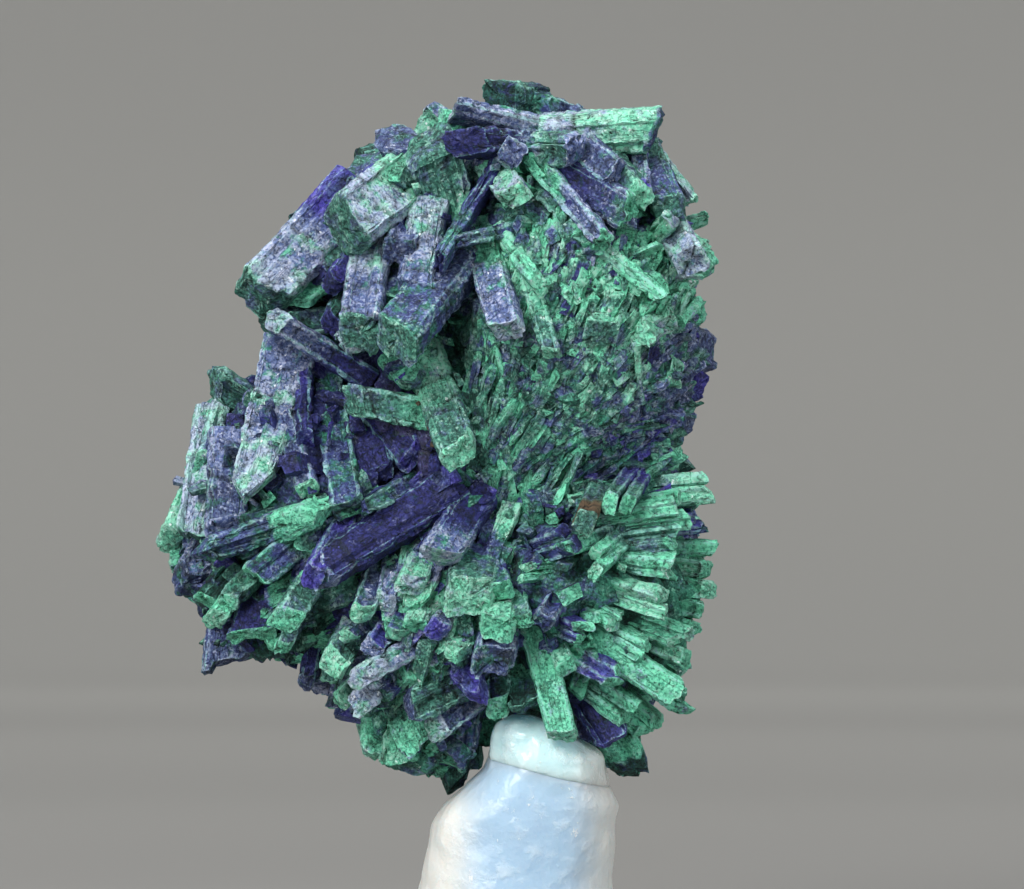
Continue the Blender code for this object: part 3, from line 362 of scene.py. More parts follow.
def grain(points, size, seed=0):
    """Noise from 0 to 1: hash the eight lattice corners round each point and blend them by an S curve."""
    scaled = points / size
    low = np.floor(scaled).astype(np.int64)
    share = scaled - low
    share = share * share * (3 - 2 * share)
    total = np.zeros(points.shape[:-1])
    for corner in np.ndindex(2, 2, 2):
        key = ((low + corner) * LATTICE).sum(axis=-1) + seed * 2654435761
        key = (key ^ (key >> 13)) * 1274126177 & 0xFFFFFFFF
        key = (key ^ (key >> 16)) * 668265263 & 0xFFFFFFFF
        weight = np.where(np.array(corner) == 1, share, 1 - share).prod(axis=-1)
        total += weight * ((key ^ (key >> 15)) & 0xFFFF) / 0xFFFF
    return total


def smooth(value, low, high):
    """An S curve from 0 at low to 1 at high."""
    share = np.clip((value - low) / (high - low), 0, 1)
    return share * share * (3 - 2 * share)


sample = grain(np.random.default_rng(0).uniform(0, 1, (1000, 3)), 0.1)
print("noise from", round(float(sample.min()), 2), "to", round(float(sample.max()), 2))

# %% [markdown]
# ## One crystal as a surface
# A tabular crystal is a flat prism. Its surface is a function of two parameters: how
# far round its eight-cornered section, and how far from root to tip. The section is
# made first. Its corners are cut off a little, because a sharp corner would catch no
# light, and the points along each cut are marked as the edge that wears; the finish
# also paints that edge lighter, partly a painted highlight.

# %% The section of a crystal
WIDE = 1.7 * DRAWN


def section(width, thick, chamfer, cell, uneven):
    """Eight corners of a flat prism's section, joined by straight sides cut into steps of about a cell."""
    w, t = width / 2, thick / 2
    in_w, in_t = w - chamfer[0], t - chamfer[1]
    corners = np.array([
        (w, -in_t), (w, in_t), (in_w, t), (-in_w, t), (-w, in_t), (-w, -in_t), (-in_w, -t), (in_w, -t)])
    corners = corners + uneven[[0, 1, 1, 2, 2, 3, 3, 0]] * (w, t)
    sides = np.roll(corners, -1, axis=0) - corners
    steps = np.maximum(1, np.round(np.linalg.norm(sides, axis=1) / cell).astype(int))
    shares = [np.arange(n) / n for n in steps]
    places = np.concatenate([a + b * s[:, None] for a, b, s in zip(corners, sides, shares)])
    edge = np.concatenate([(s == 0).astype(float) for s in shares])
    outward = np.stack([sides[:, 1], -sides[:, 0]], axis=1)
    outward /= np.linalg.norm(outward, axis=1, keepdims=True)
    facing = np.repeat(outward, steps, axis=0)
    facing[edge == 1] += np.roll(outward, 1, axis=0)
    return places, facing / np.linalg.norm(facing, axis=1, keepdims=True), edge


trial_section = section(2 * MM, 1 * MM, (0.1 * MM, 0.1 * MM), 0.3 * MM, np.zeros((4, 2)))
print("a thin section has", len(trial_section[0]), "points")

# %% [markdown]
# ## How a crystal ends
# Real ones end in a slanting face, a wedge or a ragged break. A box with a bevel would
# show the same square end a hundred times, so the end's height is worked out over each
# place of the section instead. It slants by where the tip stands, drops towards the
# edges where the crystal is pointed, and breaks off unevenly.

# %% Rings and the height of the end
MOST_SLANT = 0.4
SLANT_TURNS = (5.1, 3.7)
LEAN_TURNS = (3.3, -4.9)
LEAST_DROP = 0.1
TIP_NARROWER = 0.5
WEDGE_FROM, WEDGE_TO = 0.2, 0.55


def ring_shares(width, thick, length, cell):
    """The end ring's number, each ring's share of the height, and how far it has shrunk.

    The shares rise evenly from 0 at the root to 1 at the end, and stay there while the
    rings shrink over the end face.
    """
    body = max(3, int(round(length / cell)))
    over = max(2, int(round(min(width, thick) / 2 / cell)))
    up = np.concatenate([np.linspace(0, 1, body + 1), np.ones(over - 1)])
    shrink = np.concatenate([np.ones(body + 1), 1 - np.arange(1, over) / over])
    return body, up, shrink


def end_height(flat, tip, length, width, point, chamfer):
    """End = length - slant across - lean through - drop times the ridge: 0 in the middle, 1 outside.

    The slant and the lean are sines of where the tip stands. The ridge is a level top with
    dropped edges on a blunt crystal, and goes over into a wedge on a pointed one.
    """
    slant, lean = (
        MOST_SLANT * math.sin(a * tip[0] / DRAWN + b * tip[2] / DRAWN) for a, b in (SLANT_TURNS, LEAN_TURNS))
    drop = (LEAST_DROP + (1 - LEAST_DROP) * point) * width
    across = np.abs(flat[..., 0])
    shoulder = (width / 2 - chamfer[0]) * (1 - TIP_NARROWER * point)
    ridge = np.clip((across - shoulder) / chamfer[0], 0, 1)
    ridge = ridge + (across * 2 / width - ridge) * smooth(point, WEDGE_FROM, WEDGE_TO)
    if width <= WIDE:
        ridge = 0.5 + 0.5 * ridge
    return length - slant * flat[..., 0] - lean * flat[..., 1] - drop * ridge


print("a crystal of 4 mm has", len(ring_shares(2 * MM, 1 * MM, 4 * MM, 0.22 * MM)[1]), "rings")

# %% [markdown]
# ## Relief and weights
# Crystals that grew side by side stand a little higher or lower than each other, which
# gives the ledges that run along the real ones. On top of that come streaks, lumps,
# grain, pits, cracks and chipped edges, each a noise of one size times one depth. The
# weights of the three blends then travel with the points.

# %% Relief of the faces and weights of the colours
# each pair: the size of a noise, then how deep it goes
STREAKS, STREAK_LONG = (0.30 * MM, 0.10 * MM), 0.16
LUMPS = (1.0 * MM, 0.13 * MM)
FINE_GRAIN = (0.26 * MM, 0.17 * MM)
PITS, PIT_FROM, PIT_TO, PIT_MOST = (0.34 * MM, 0.12 * MM), 0.70, 0.85, 0.8
CHIPS, CHIP_FROM, CHIP_TO = (0.60 * MM, 0.26 * MM), 0.45, 0.8
CRACKS, CRACK_WIDE = ((0.2, -0.6), (0.95, 0.6)), 0.13 * MM
CRACK_BREAKS, BREAK_FROM, BREAK_TO = 0.9 * MM, 0.35, 0.6
BLEND_WAVES, BLEND_FROM, BLEND_TO = (1.2 * MM, 0.4), 0.3, 0.75
MARKS = ("azurite", "light", "powder", "grey", "rock", "edge", "pit")


def pits_and_cracks(local, shift, length, random):
    """Pits where noise is high, and two cracks: a narrow bell curve of the distance to a tilted plane."""
    pit = PIT_MOST * smooth(grain(shift, PITS[0], 1), PIT_FROM, PIT_TO)
    for crack, tilt in random.uniform(*CRACKS, (2, 2)):
        off = local[..., 2] - crack * length - tilt * local[..., 0]
        open_here = smooth(grain(shift, CRACK_BREAKS, 7), BREAK_FROM, BREAK_TO)
        pit = np.maximum(pit, np.exp(-(off / CRACK_WIDE) ** 2) * open_here)
    return pit


def relief(shift, edge, pit):
    """Streaks + lumps + fine grain - pits - chips out of the edges, each a noise times its depth."""
    return (
        (grain(shift * (1, 1, STREAK_LONG), STREAKS[0], 2) - 0.5) * STREAKS[1]
        + (grain(shift, LUMPS[0], 8) - 0.5) * LUMPS[1]
        + (grain(shift, FINE_GRAIN[0], 3) - 0.5) * FINE_GRAIN[1]
        - pit * PITS[1]
        - edge[None] * smooth(grain(shift, CHIPS[0], 4), CHIP_FROM, CHIP_TO) * CHIPS[1])


def weights(blends, up, on_end, shift):
    """The first blend goes over into the second along the crystal, and into the third on its end face."""
    waves = (grain(shift, BLEND_WAVES[0], 5)[:, 0] - 0.5) * BLEND_WAVES[1]
    along = smooth(up + waves, BLEND_FROM, BLEND_TO)[:, None, None]
    first, last, face = (np.array(BLENDS[letter]) for letter in blends)
    blend = first * (1 - along) + last * along
    return blend + (face - blend) * np.clip(on_end * 2 - 0.2, 0, 1)[:, None, None]


print("the deepest chip is", round(CHIPS[1] / MM, 2), "mm")

# %% Faces between rings, and standing a crystal up
def ring_faces(rings, around):
    """Faces between rings of points, and fans to the two points that close the last ring and the first."""
    here = np.arange(rings * around).reshape(rings, around)
    there = np.roll(here, -1, axis=1)
    quads = np.stack([here[:-1], there[:-1], there[1:], here[1:]], axis=-1).reshape(-1, 4)
    last, first = rings * around, rings * around + 1
    fans = np.concatenate([
        np.stack([here[-1], there[-1], np.full(around, last)], axis=-1),
        np.stack([there[0], here[0], np.full(around, first)], axis=-1)])
    return quads, fans


def stand(points, tip, root, roll):
    """Turns a crystal's own width, thickness and length into the frame: along = tip - root."""
    along = (tip - root) / np.linalg.norm(tip - root)
    across = np.cross(along, (0, -1, 0))
    across /= np.linalg.norm(across)
    through = np.cross(along, across)
    turn = math.radians(roll)
    wide = across * math.cos(turn) + through * math.sin(turn)
    return root + points @ np.array([wide, np.cross(along, wide), along])


print("a ring of 8 points over another has", len(ring_faces(2, 8)[0]), "quads")

# %% A crystal's surface
CHAMFERS = {"wide": (0.13, 0.18), "narrow": (0.09, 0.09)}
UNEVEN_CORNERS = (-0.10, 0.06)
STRIP_CUTS, CUT_LEAN = (-0.8, 0.8), 0.12
STRIP_DROPS = (0, 0.16)
STRIP_LIFTS = (-0.2, 0.03)
END_GRAIN = (0.8 * MM, 0.24 * MM)
END_WEAR_AND_HIGHLIGHT = 0.9
COARSE_CELL = 0.5 * MM
COARSE_WEAR_AND_HIGHLIGHT = 0.5
NOISE_ROOM = 40 * MM
DRAWN_OUT = (1, 1, 0.12)


def crystal(tip, root, width, thick, roll, point, blends, seed, cell=0.22 * MM, rough=1.0):
    """Rings of the section from root to tip, then rings that shrink over the end face to its middle.

    A ring's height is its share of the end's height over it. The rings narrow evenly to
    the tip. Every point then moves along its facing by the lift of its strip and by the
    relief, and so does the end face, along the crystal.
    """
    random = np.random.default_rng(seed)
    length = np.linalg.norm(tip - root)
    chamfer = [share * thick for share in CHAMFERS["wide" if width > WIDE else "narrow"]]
    places, facing, edge = section(width, thick, chamfer, cell, random.uniform(*UNEVEN_CORNERS, (4, 2)))
    body, up, shrink = ring_shares(width, thick, length, cell)
    flat = places[None] * ((1 - TIP_NARROWER * point * up) * shrink)[:, None, None]
    end = end_height(flat, tip, length, width, point, chamfer)
    cuts = np.sort(random.uniform(*STRIP_CUTS, 2)) * width / 2
    strip = np.searchsorted(cuts, flat[..., 0] + CUT_LEAN * flat[..., 1])
    end -= random.uniform(*STRIP_DROPS, 3)[strip] * width
    broken = np.stack([flat[..., 0], flat[..., 1], 0 * end + seed * MM], axis=-1)
    end += (grain(broken, END_GRAIN[0], 6) - 0.55) * END_GRAIN[1] * rough
    local = np.stack([flat[..., 0], flat[..., 1], end * up[:, None]], axis=-1)
    on_end = (np.arange(len(up)) > body).astype(float)
    on_end[body] = 0.5
    sideways = facing[None] * (1 - on_end)[:, None, None]
    endways = np.broadcast_to(on_end[:, None, None], (*end.shape, 1))
    out = np.concatenate([sideways, endways], axis=-1)
    out /= np.linalg.norm(out, axis=-1, keepdims=True)
    shift = local + random.uniform(0, NOISE_ROOM, 3)
    # the pit mark pushes pits and cracks in, and the finish paints them nearly black as painted shade
    pit = pits_and_cracks(local, shift, length, random)
    lifts = random.uniform(*STRIP_LIFTS, 3)[strip] * thick * np.abs(out[..., 1])
    depth = lifts * smooth(up, 0.1, 0.3)[:, None] + rough * relief(shift, edge, pit)
    # edge mark: wear on the section's corners and on the end's rim, which the finish also paints lighter,
    # partly a painted highlight
    wear_and_highlight = np.maximum(edge[None] * (1 - on_end)[:, None], (np.arange(len(up)) == body)[:, None] * END_WEAR_AND_HIGHLIGHT)
    wear_and_highlight = wear_and_highlight * (COARSE_WEAR_AND_HIGHLIGHT if cell > COARSE_CELL else 1.0)
    blend = np.broadcast_to(weights(blends, up, on_end, shift), (*wear_and_highlight.shape, WEIGHTS))
    marks = np.concatenate([blend, wear_and_highlight[..., None], pit[..., None]], axis=-1)
    start = shift[0, 0] - local[0, 0] - out[0, 0] * depth[0, 0]
    local = local + out * depth[..., None]
    points = np.concatenate([local.reshape(-1, 3), [local[-1].mean(axis=0)], [[0, 0, 0]]])
    closing = [marks[-1].mean(axis=0), marks[0].mean(axis=0)]
    marks = np.concatenate([marks.reshape(-1, len(MARKS)), closing])
    quads, fans = ring_faces(len(up), len(places))
    return stand(points, tip, root, roll), quads, fans, marks, (points + start) * DRAWN_OUT


trial = crystal(*place([(1, 1, 4), (1, 5, 0)]), 2 * MM, 2 * MM, 0, 0.1, "GgM", 1)
print("a crystal has", len(trial[1]), "faces")

# %% [markdown]
# ## From arrays to a mesh
# Hundreds of crystals are joined into one mesh, because an object for each would
# slow every step that follows. The corner numbers of each crystal are moved up by
# the points that came before it, and the weights travel as attributes.

# %% Join surfaces into one piece
def add_to_scene(name, data):
    """An object at the origin that shows a mesh, a light or a camera."""
    made = bpy.data.objects.new(name, data)
    bpy.context.scene.collection.objects.link(made)
    return made


def join(name, surfaces, finish):
    """One mesh from many surfaces: points end to end, with each surface's corners moved up to match."""
    starts = np.cumsum([0] + [len(s[0]) for s in surfaces[:-1]])
    points, marks, lengthwise = (np.concatenate([s[i] for s in surfaces]) for i in (0, 3, 4))
    quads, fans = (np.concatenate([s[i] + start for s, start in zip(surfaces, starts)]) for i in (1, 2))
    corners = np.concatenate([quads.ravel(), fans.ravel()]).astype(np.int32)
    sizes = np.repeat([4, 3], [len(quads), len(fans)])
    mesh = bpy.data.meshes.new(name)
    mesh.vertices.add(len(points))
    mesh.vertices.foreach_set("co", points.astype(np.float32).ravel())
    mesh.loops.add(len(corners))
    mesh.loops.foreach_set("vertex_index", corners)
    mesh.polygons.add(len(sizes))
    mesh.polygons.foreach_set("loop_start", np.concatenate([[0], np.cumsum(sizes)[:-1]]).astype(np.int32))
    mesh.update(calc_edges=True)
    for number, mark in enumerate(MARKS):
        layer = mesh.attributes.new(mark, "FLOAT", "POINT")
        layer.data.foreach_set("value", marks[:, number].astype(np.float32))
    layer = mesh.attributes.new("lengthwise", "FLOAT_VECTOR", "POINT")
    layer.data.foreach_set("vector", lengthwise.astype(np.float32).ravel())
    mesh.shade_smooth()
    mesh.set_sharp_from_angle(angle=math.radians(42))
    mesh.materials.append(finish)
    piece = add_to_scene(name, mesh)
    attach(piece, "root")
    print(f"{name}: {len(surfaces)} surfaces, {2 * len(quads) + len(fans)} triangles,", end=" ")
    print("back at", round(points[:, 1].max() / MM, 1), "mm")
    return piece


print("a surface is its points, quads, fans, marks and lengthwise places")

# %% [markdown]
# ## Shader maths as Python
# A finish is a small sum of noises and masks. Written as nodes one by one it is hard
# to read, so a socket is wrapped in a class whose operators add the Math nodes. Any
# other node comes from one method: its settings are set first, since they change
# which sockets it has, and then its inputs.

# %% A socket that can be added and multiplied
class Wire:
    """An output socket of a finish. Sums and products on it become Math nodes."""

    def __init__(self, finish, socket):
        self.finish, self.socket = finish, socket

    def math(self, operation, *values):
        """A Math node. Without values it works on this socket alone."""
        values = values or (self,)
        return self.finish.node("ShaderNodeMath", {"operation": operation}, dict(enumerate(values)))

    def channel(self, number):
        """One of the three channels of a colour."""
        return self.finish.node("ShaderNodeSeparateColor", {}, {0: self}, number)

    def __add__(self, other):
        return self.math("ADD", self, other)

    def __sub__(self, other):
        return self.math("SUBTRACT", self, other)

    def __rsub__(self, other):
        return self.math("SUBTRACT", other, self)

    def __mul__(self, other):
        return self.math("MULTIPLY", self, other)

    __radd__ = __add__
    __rmul__ = __mul__

    def clamp(self):
        """Kept between 0 and 1."""
        return self.math("MINIMUM", self.math("MAXIMUM", self, 0.0), 1.0)

    def step(self, low, high):
        """An S curve from 0 at low to 1 at high."""
        sockets = {"Value": self, "From Min": low, "From Max": high}
        return self.finish.node("ShaderNodeMapRange", {"interpolation_type": "SMOOTHSTEP"}, sockets)


print("a socket now knows", ", ".join(name for name in vars(Wire) if not name.startswith("_")))


# %% A material that makes its own nodes
class Finish:
    """A material and its nodes. It starts with a Principled BSDF already wired to the output."""

    def __init__(self, name):
        self.material = bpy.data.materials.new(name)
        self.material.use_nodes = True
        self.nodes = self.material.node_tree.nodes
        self.links = self.material.node_tree.links
        self.surface = self.nodes["Principled BSDF"]
        self.object_place = self.node("ShaderNodeTexCoord", {}, {}, "Object")

    def put(self, socket, value):
        """Links a socket, or sets it: three numbers on a colour get an alpha of 1."""
        if isinstance(value, Wire):
            self.links.new(value.socket, socket)
        elif isinstance(value, tuple) and len(value) == 3 and len(socket.default_value) == 4:
            socket.default_value = (*value, 1)
        else:
            socket.default_value = value

    def node(self, kind, settings, sockets, out=0):
        """Any node: its settings first, then its inputs, and one of its outputs back."""
        made = self.nodes.new(kind)
        for name, value in settings.items():
            setattr(made, name, value)
        for name, value in sockets.items():
            self.put(made.inputs[name], value)
        return Wire(self, made.outputs[out])

    def set(self, **sockets):
        """Inputs of the Principled BSDF, with spaces written as underscores."""
        for name, value in sockets.items():
            self.put(self.surface.inputs[name.replace("_", " ")], value)

    def mark(self, name, out="Fac"):
        """An attribute that the mesh carries."""
        return self.node("ShaderNodeAttribute", {"attribute_name": name}, {}, out)

    def noise(self, size, detail=2.0, where=None, roughness=0.55):
        """Noise whose lumps are about a size in metres across."""
        where = where or self.object_place
        sockets = {"Vector": where, "Scale": 1 / size, "Detail": detail, "Roughness": roughness}
        return self.node("ShaderNodeTexNoise", {}, sockets)

    def mix(self, a, b, share):
        """Colour a going over into b as the share goes from 0 to 1."""
        settings = {"data_type": "RGBA", "clamp_factor": True}
        return self.node("ShaderNodeMix", settings, {0: share, 6: a, 7: b}, 2)

    def ramp(self, value, stops):
        """A colour from stops of lightness, mixed in turn from the darkest up."""
        colour = stops[0][1]
        for (low, _), (high, next_colour) in zip(stops, stops[1:]):
            colour = self.mix(colour, next_colour, value.step(low, high))
        return colour


print("a material now knows", ", ".join(name for name in vars(Finish) if not name.startswith("_")))

# %% [markdown]
# ## The finish of the crystals
# Malachite is a dull powdery green and azurite a deep violet blue that goes lavender
# where it is scuffed. The mask between them is the crystal's own weight plus noise,
# sharpened, so blue shows in patches with crisp borders. Streaks follow the
# crystal's length through an attribute that keeps places in the crystal's own
# directions. Pale powder gathers in specks and on edges. The edges are painted
# lighter and get a broken turquoise rim, partly worn edge and partly painted
# highlight. Pits, holes and cracks are painted nearly black, a painted shade in the
# hollows, and a few pale grains get a painted glint. A crack is the thin line along
# which a noise passes its middle value.

# %% Azurite and malachite
GREENS = [
    (0.0, (0.004, 0.030, 0.024)), (0.35, (0.016, 0.105, 0.078)), (0.65, (0.046, 0.285, 0.185)),
    (1.0, (0.170, 0.680, 0.440)),
]
BLUES = [
    (0.0, (0.006, 0.007, 0.055)), (0.35, (0.022, 0.026, 0.170)), (0.65, (0.078, 0.118, 0.315)),
    (1.0, (0.260, 0.325, 0.550)),
]
VIOLETS = [
    (0.0, (0.006, 0.004, 0.065)), (0.35, (0.018, 0.013, 0.190)), (0.65, (0.070, 0.055, 0.400)),
    (1.0, (0.230, 0.200, 0.620)),
]
GREYS = [
    (0.0, (0.006, 0.016, 0.020)), (0.35, (0.038, 0.072, 0.082)), (0.65, (0.120, 0.195, 0.215)),
    (1.0, (0.360, 0.460, 0.490)),
]
MINT_POWDER = (0.370, 0.650, 0.530)
LAVENDER_POWDER = (0.450, 0.480, 0.670)
TURQUOISE_WEAR_AND_RIM_HIGHLIGHT = (0.230, 0.560, 0.520)
BROWN_ROCK = (0.130, 0.085, 0.050)
# the near black painted into pits, holes and cracks: painted shade
CREVICE_PAINTED_SHADE = (0.003, 0.010, 0.011)
# a painted glint on a few pale grains
PAINTED_GLINT = (0.850, 0.900, 0.950)
PATCH_SIZE, DUST_SIZE, SPECKLE_SIZE, STREAK_SIZE = 1.1 * MM, 0.60 * MM, 0.20 * MM, 0.26 * MM
GRAIN_SIZE, HOLE_SIZE, SPLIT_SIZE, CRACK_SIZE = 0.15 * MM, 0.17 * MM, 0.9 * MM, 1.2 * MM
BUMP_DEPTH = 0.15 * MM


def crystal_finish(name):
    """Weights from the mesh, broken up by noise: blue or green, then grey, powder, a rim of wear and painted
    highlight, rock, painted shade in pits and cracks, and painted glints.
    """
    finish = Finish(name)
    azurite, light, powder, grey, rock, edge, pit = (finish.mark(mark) for mark in MARKS)
    lengthwise = finish.mark("lengthwise", "Vector")
    patches = finish.noise(PATCH_SIZE, 3.0)
    speckle = finish.noise(SPECKLE_SIZE, 3.0, roughness=0.7)
    dust = finish.noise(DUST_SIZE, 5.0, roughness=0.72)
    streaks = finish.noise(STREAK_SIZE, 3.0, lengthwise)
    cells = {"Vector": finish.object_place, "Scale": 1 / GRAIN_SIZE}
    grains = finish.node("ShaderNodeTexVoronoi", {}, cells, 1).channel(0)
    blue = azurite + (patches - 0.5) * 2.1 + (speckle - 0.5) * 0.9 + (streaks - 0.5) * 0.7
    blue = blue.step(0.28, 0.72)
    level = light + (grains - 0.5) * 0.3 + (speckle - 0.5) * 0.9 + (streaks - 0.5) * 0.4
    # edges painted lighter: partly wear, partly a painted highlight
    level = (level + edge * 0.25).clamp()
    violet = (azurite + (patches - 0.5) * 1.2).step(0.95, 1.35)
    blues = finish.mix(finish.ramp(level, BLUES), finish.ramp(level, VIOLETS), violet)
    colour = finish.mix(finish.ramp(level, GREENS), blues, blue)
    greyed = (grey * 0.9 + (patches - 0.5) * 0.8 + (dust - 0.5) * 0.6).clamp()
    colour = finish.mix(colour, finish.ramp(level, GREYS), greyed * 0.7)
    # powder on the edges as well; the edge share is partly a painted highlight
    dusty = powder * 0.75 + edge * 0.35 + (dust - 0.5) * 2.2 + (grains - 0.5) * 0.6
    dusty = dusty + (streaks - 0.5) * 0.2 - 0.28
    powders = finish.mix(MINT_POWDER, LAVENDER_POWDER, (azurite + (patches - 0.5) * 0.8).step(0.3, 0.8))
    colour = finish.mix(colour, powders, dusty.step(0.0, 0.9) * 0.85)
    # broken turquoise rim on the edges: partly worn edge, partly a painted highlight
    rim = (edge + (dust - 0.5) * 1.8).step(0.70, 1.10)
    colour = finish.mix(colour, TURQUOISE_WEAR_AND_RIM_HIGHLIGHT, rim * 0.5)
    colour = finish.mix(colour, BROWN_ROCK, rock)
    # pits, holes and cracks sink in through the bump and are painted nearly black: painted shade in the
    # hollows
    off_split = (finish.noise(SPLIT_SIZE, 3.0, lengthwise) - 0.5).math("ABSOLUTE")
    off_crack = (finish.noise(CRACK_SIZE, 4.0, roughness=0.65) - 0.5).math("ABSOLUTE")
    cracks = 1.0 - off_split.step(0.0, 0.014) * off_crack.step(0.0, 0.016)
    holes = finish.noise(HOLE_SIZE, 2.0).step(0.60, 0.68)
    colour = finish.mix(colour, CREVICE_PAINTED_SHADE, (pit * 0.75 + holes * 0.55 + cracks * 0.3).clamp())
    # painted glints: a few pale grains painted near white as a painted highlight, and made glossier
    painted_glint_spots = grains.step(0.955, 0.965) * dust.step(0.5, 0.6) * powder.step(0.2, 0.5)
    colour = finish.mix(colour, PAINTED_GLINT, painted_glint_spots * 0.7)
    height = dust * 0.9 + speckle * 0.8 + streaks * 0.3 + grains * 0.35 - holes * 0.8 - cracks * 0.9
    normal = finish.node("ShaderNodeBump", {}, {"Strength": 0.8, "Distance": BUMP_DEPTH, "Height": height})
    finish.set(
        Base_Color=colour, Roughness=0.66 + dust * 0.25 - blue * 0.12 - painted_glint_spots * 0.4, Normal=normal,
        Specular_IOR_Level=0.4)
    return finish.material


CRYSTALS = crystal_finish("azurite_and_malachite_crystals")
print(CRYSTALS.name, "has", len(CRYSTALS.node_tree.nodes), "nodes")

# %% [markdown]
# ## The crystals one by one
# The rows become surfaces. Where a row's root would stand in front of the heart
# behind it, it is moved back under the heart's surface, as in the solids, so that no
# crystal hangs in the air.

# %% Build the best side
ROOT_DEPTH = 0.6


def from_rows(rows, first_seed, rough=1.0):
    """A surface for each row, with its root kept under the heart's surface."""
    for number, (u, v, d, root_u, root_v, root_d, width, thick, roll, point, blends) in enumerate(rows):
        root_d = min(root_d, surface_depth(root_u, root_v) - ROOT_DEPTH)
        tip, root = place([(u, v, d), (root_u, root_v, root_d)])
        yield crystal(
            tip, root, width * DRAWN, thick * DRAWN, roll, point, blends, first_seed + number, rough=rough)


FAN_SEED = 41
TO_SPLIT = (1.0, 1.55)
SHORTER, SUNK = (0, 1.0), (0.1, 0.8)
NEW_WIDTHS, NEW_THICKS, NEW_ROLLS = (0.95, 1.15), (0.9, 1.2), (10, 28)


def in_plates(rows):
    """Rows of middling width cut lengthwise into two plates that end at lengths and depths of their own."""
    random = np.random.default_rng(FAN_SEED)
    for u, v, d, root_u, root_v, root_d, width, thick, roll, point, blends in rows:
        along = np.array((u - root_u, v - root_v)) / math.hypot(u - root_u, v - root_v)
        count = 2 if TO_SPLIT[0] < width < TO_SPLIT[1] else 1
        for number in range(count):
            aside = ((number + 0.5) / count - 0.5) * width * np.array((-along[1], along[0]))
            tip = np.array((u, v)) + aside - along * random.uniform(*SHORTER) * (count - 1)
            root = np.array((root_u, root_v)) + aside * 0.8
            sunk = random.uniform(*SUNK) * (number if random.uniform() < 0.5 else count - 1 - number)
            wide, through = width / count * random.uniform(*NEW_WIDTHS), thick * random.uniform(*NEW_THICKS)
            turned = roll + random.uniform(*NEW_ROLLS) * (count - 1)
            yield *tip, d - sunk, *root, root_d, wide, through, turned, point, blends


upper = [*from_rows(UPPER_LEFT, 100), *from_rows(TOP, 200), *from_rows(UPPER_MIDDLE, 300)]
lower = [*from_rows(LEFT, 400), *from_rows(LOWER_LEFT, 500), *from_rows(LOWER_MIDDLE, 600)]
fan = [*from_rows([*in_plates(RIGHT_FAN)], 700, rough=0.6)]
upper_crystals = join("upper_crystals", upper, CRYSTALS)
lower_crystals = join("lower_crystals", lower, CRYSTALS)
fan_crystals = join("fan_crystals", fan, CRYSTALS)

# %% [markdown]
# ## Blends by place
# The crystals that no row names take their colour from where they stand. On the best
# side a few named areas say which blends are usual there. Elsewhere a slow noise
# through the specimen decides, because the same two minerals go all the way round.

# %% Which blend grows where
# each area: its middle U and V, how far it reaches, and the letters that are usual in it
AREAS = [
    (24.0, 6.0, 2.5, "WLMg"), (29.0, 6.8, 3.0, "gMLS"), (32.5, 8.0, 2.2, "SBgL"),
    (20.0, 8.0, 2.6, "MgSV"), (16.0, 11.0, 3.0, "BSgT"), (14.5, 14.5, 2.6, "gTLD"),
    (18.5, 14.0, 2.6, "VBLS"), (22.0, 12.0, 2.6, "BSgT"), (25.5, 11.0, 2.4, "gGMT"),
    (30.5, 10.0, 2.2, "BSgG"), (34.5, 12.0, 1.8, "WMVG"), (34.8, 18.5, 2.2, "LSgT"),
    (32.5, 13.5, 2.2, "gGMG"), (26.0, 18.0, 3.0, "ggTG"), (30.0, 19.0, 2.6, "ggTM"),
    (27.5, 22.5, 3.0, "gGTg"), (32.0, 21.5, 2.4, "TSgV"), (24.0, 20.0, 2.0, "gDGg"),
    (33.5, 23.0, 2.0, "GVgg"), (28.5, 26.5, 2.4, "BTDg"), (33.0, 27.0, 3.2, "GGgM"),
    (31.0, 31.0, 3.4, "GGgG"), (33.0, 34.5, 2.6, "GgGD"), (28.0, 30.5, 2.2, "VgTG"),
    (30.5, 37.0, 2.2, "BgGG"), (24.5, 30.0, 2.4, "TgMB"), (20.0, 30.0, 2.6, "MgLG"),
    (18.0, 33.5, 2.4, "LSVg"), (23.5, 34.5, 2.0, "VTMg"), (20.0, 36.5, 2.6, "TgGM"),
    (14.5, 30.5, 2.8, "GgBD"), (11.0, 31.0, 2.4, "gDTB"), (9.5, 27.5, 2.4, "MVTg"),
    (10.5, 22.5, 2.4, "WSgL"), (13.0, 21.0, 2.4, "LSBg"), (16.5, 21.0, 2.6, "BVBT"),
    (20.0, 22.0, 2.4, "BVNB"), (19.5, 26.0, 2.4, "BVTB"), (14.0, 27.0, 2.4, "DgTG"),
]
AREA_PLACES = np.array([area[:3] for area in AREAS])
AREA_BLENDS = np.array([np.mean([BLENDS[letter] for letter in area[3]], axis=0) for area in AREAS])
AREA_EDGES = (0, 0.35)
BACK_BLENDS = ("GgTGMgD", "BVSLTBS")
BACK_WAVES, BACK_SHIFT, BACK_SPREAD, MORE_BLUE_OVER = 6.0, 50.0, 0.12, 0.52


def blends_at(place_uvd, random):
    """Three letters: from the nearest named area on the best side, or from slow noise round the back."""
    if place_uvd[2] > 0.5:
        far = np.linalg.norm(AREA_PLACES[:, :2] - place_uvd[:2], axis=1) / AREA_PLACES[:, 2]
        letters = AREAS[int(np.argmin(far + random.uniform(*AREA_EDGES, len(far))))][3]
    else:
        blue = grain(np.array(place_uvd)[None] + BACK_SHIFT, BACK_WAVES, 11)[0]
        blue += random.normal(0, BACK_SPREAD)
        letters = BACK_BLENDS[int(blue > MORE_BLUE_OVER)]
    return "".join(random.choice(list(letters), 3))


print(len(AREAS), "named areas")

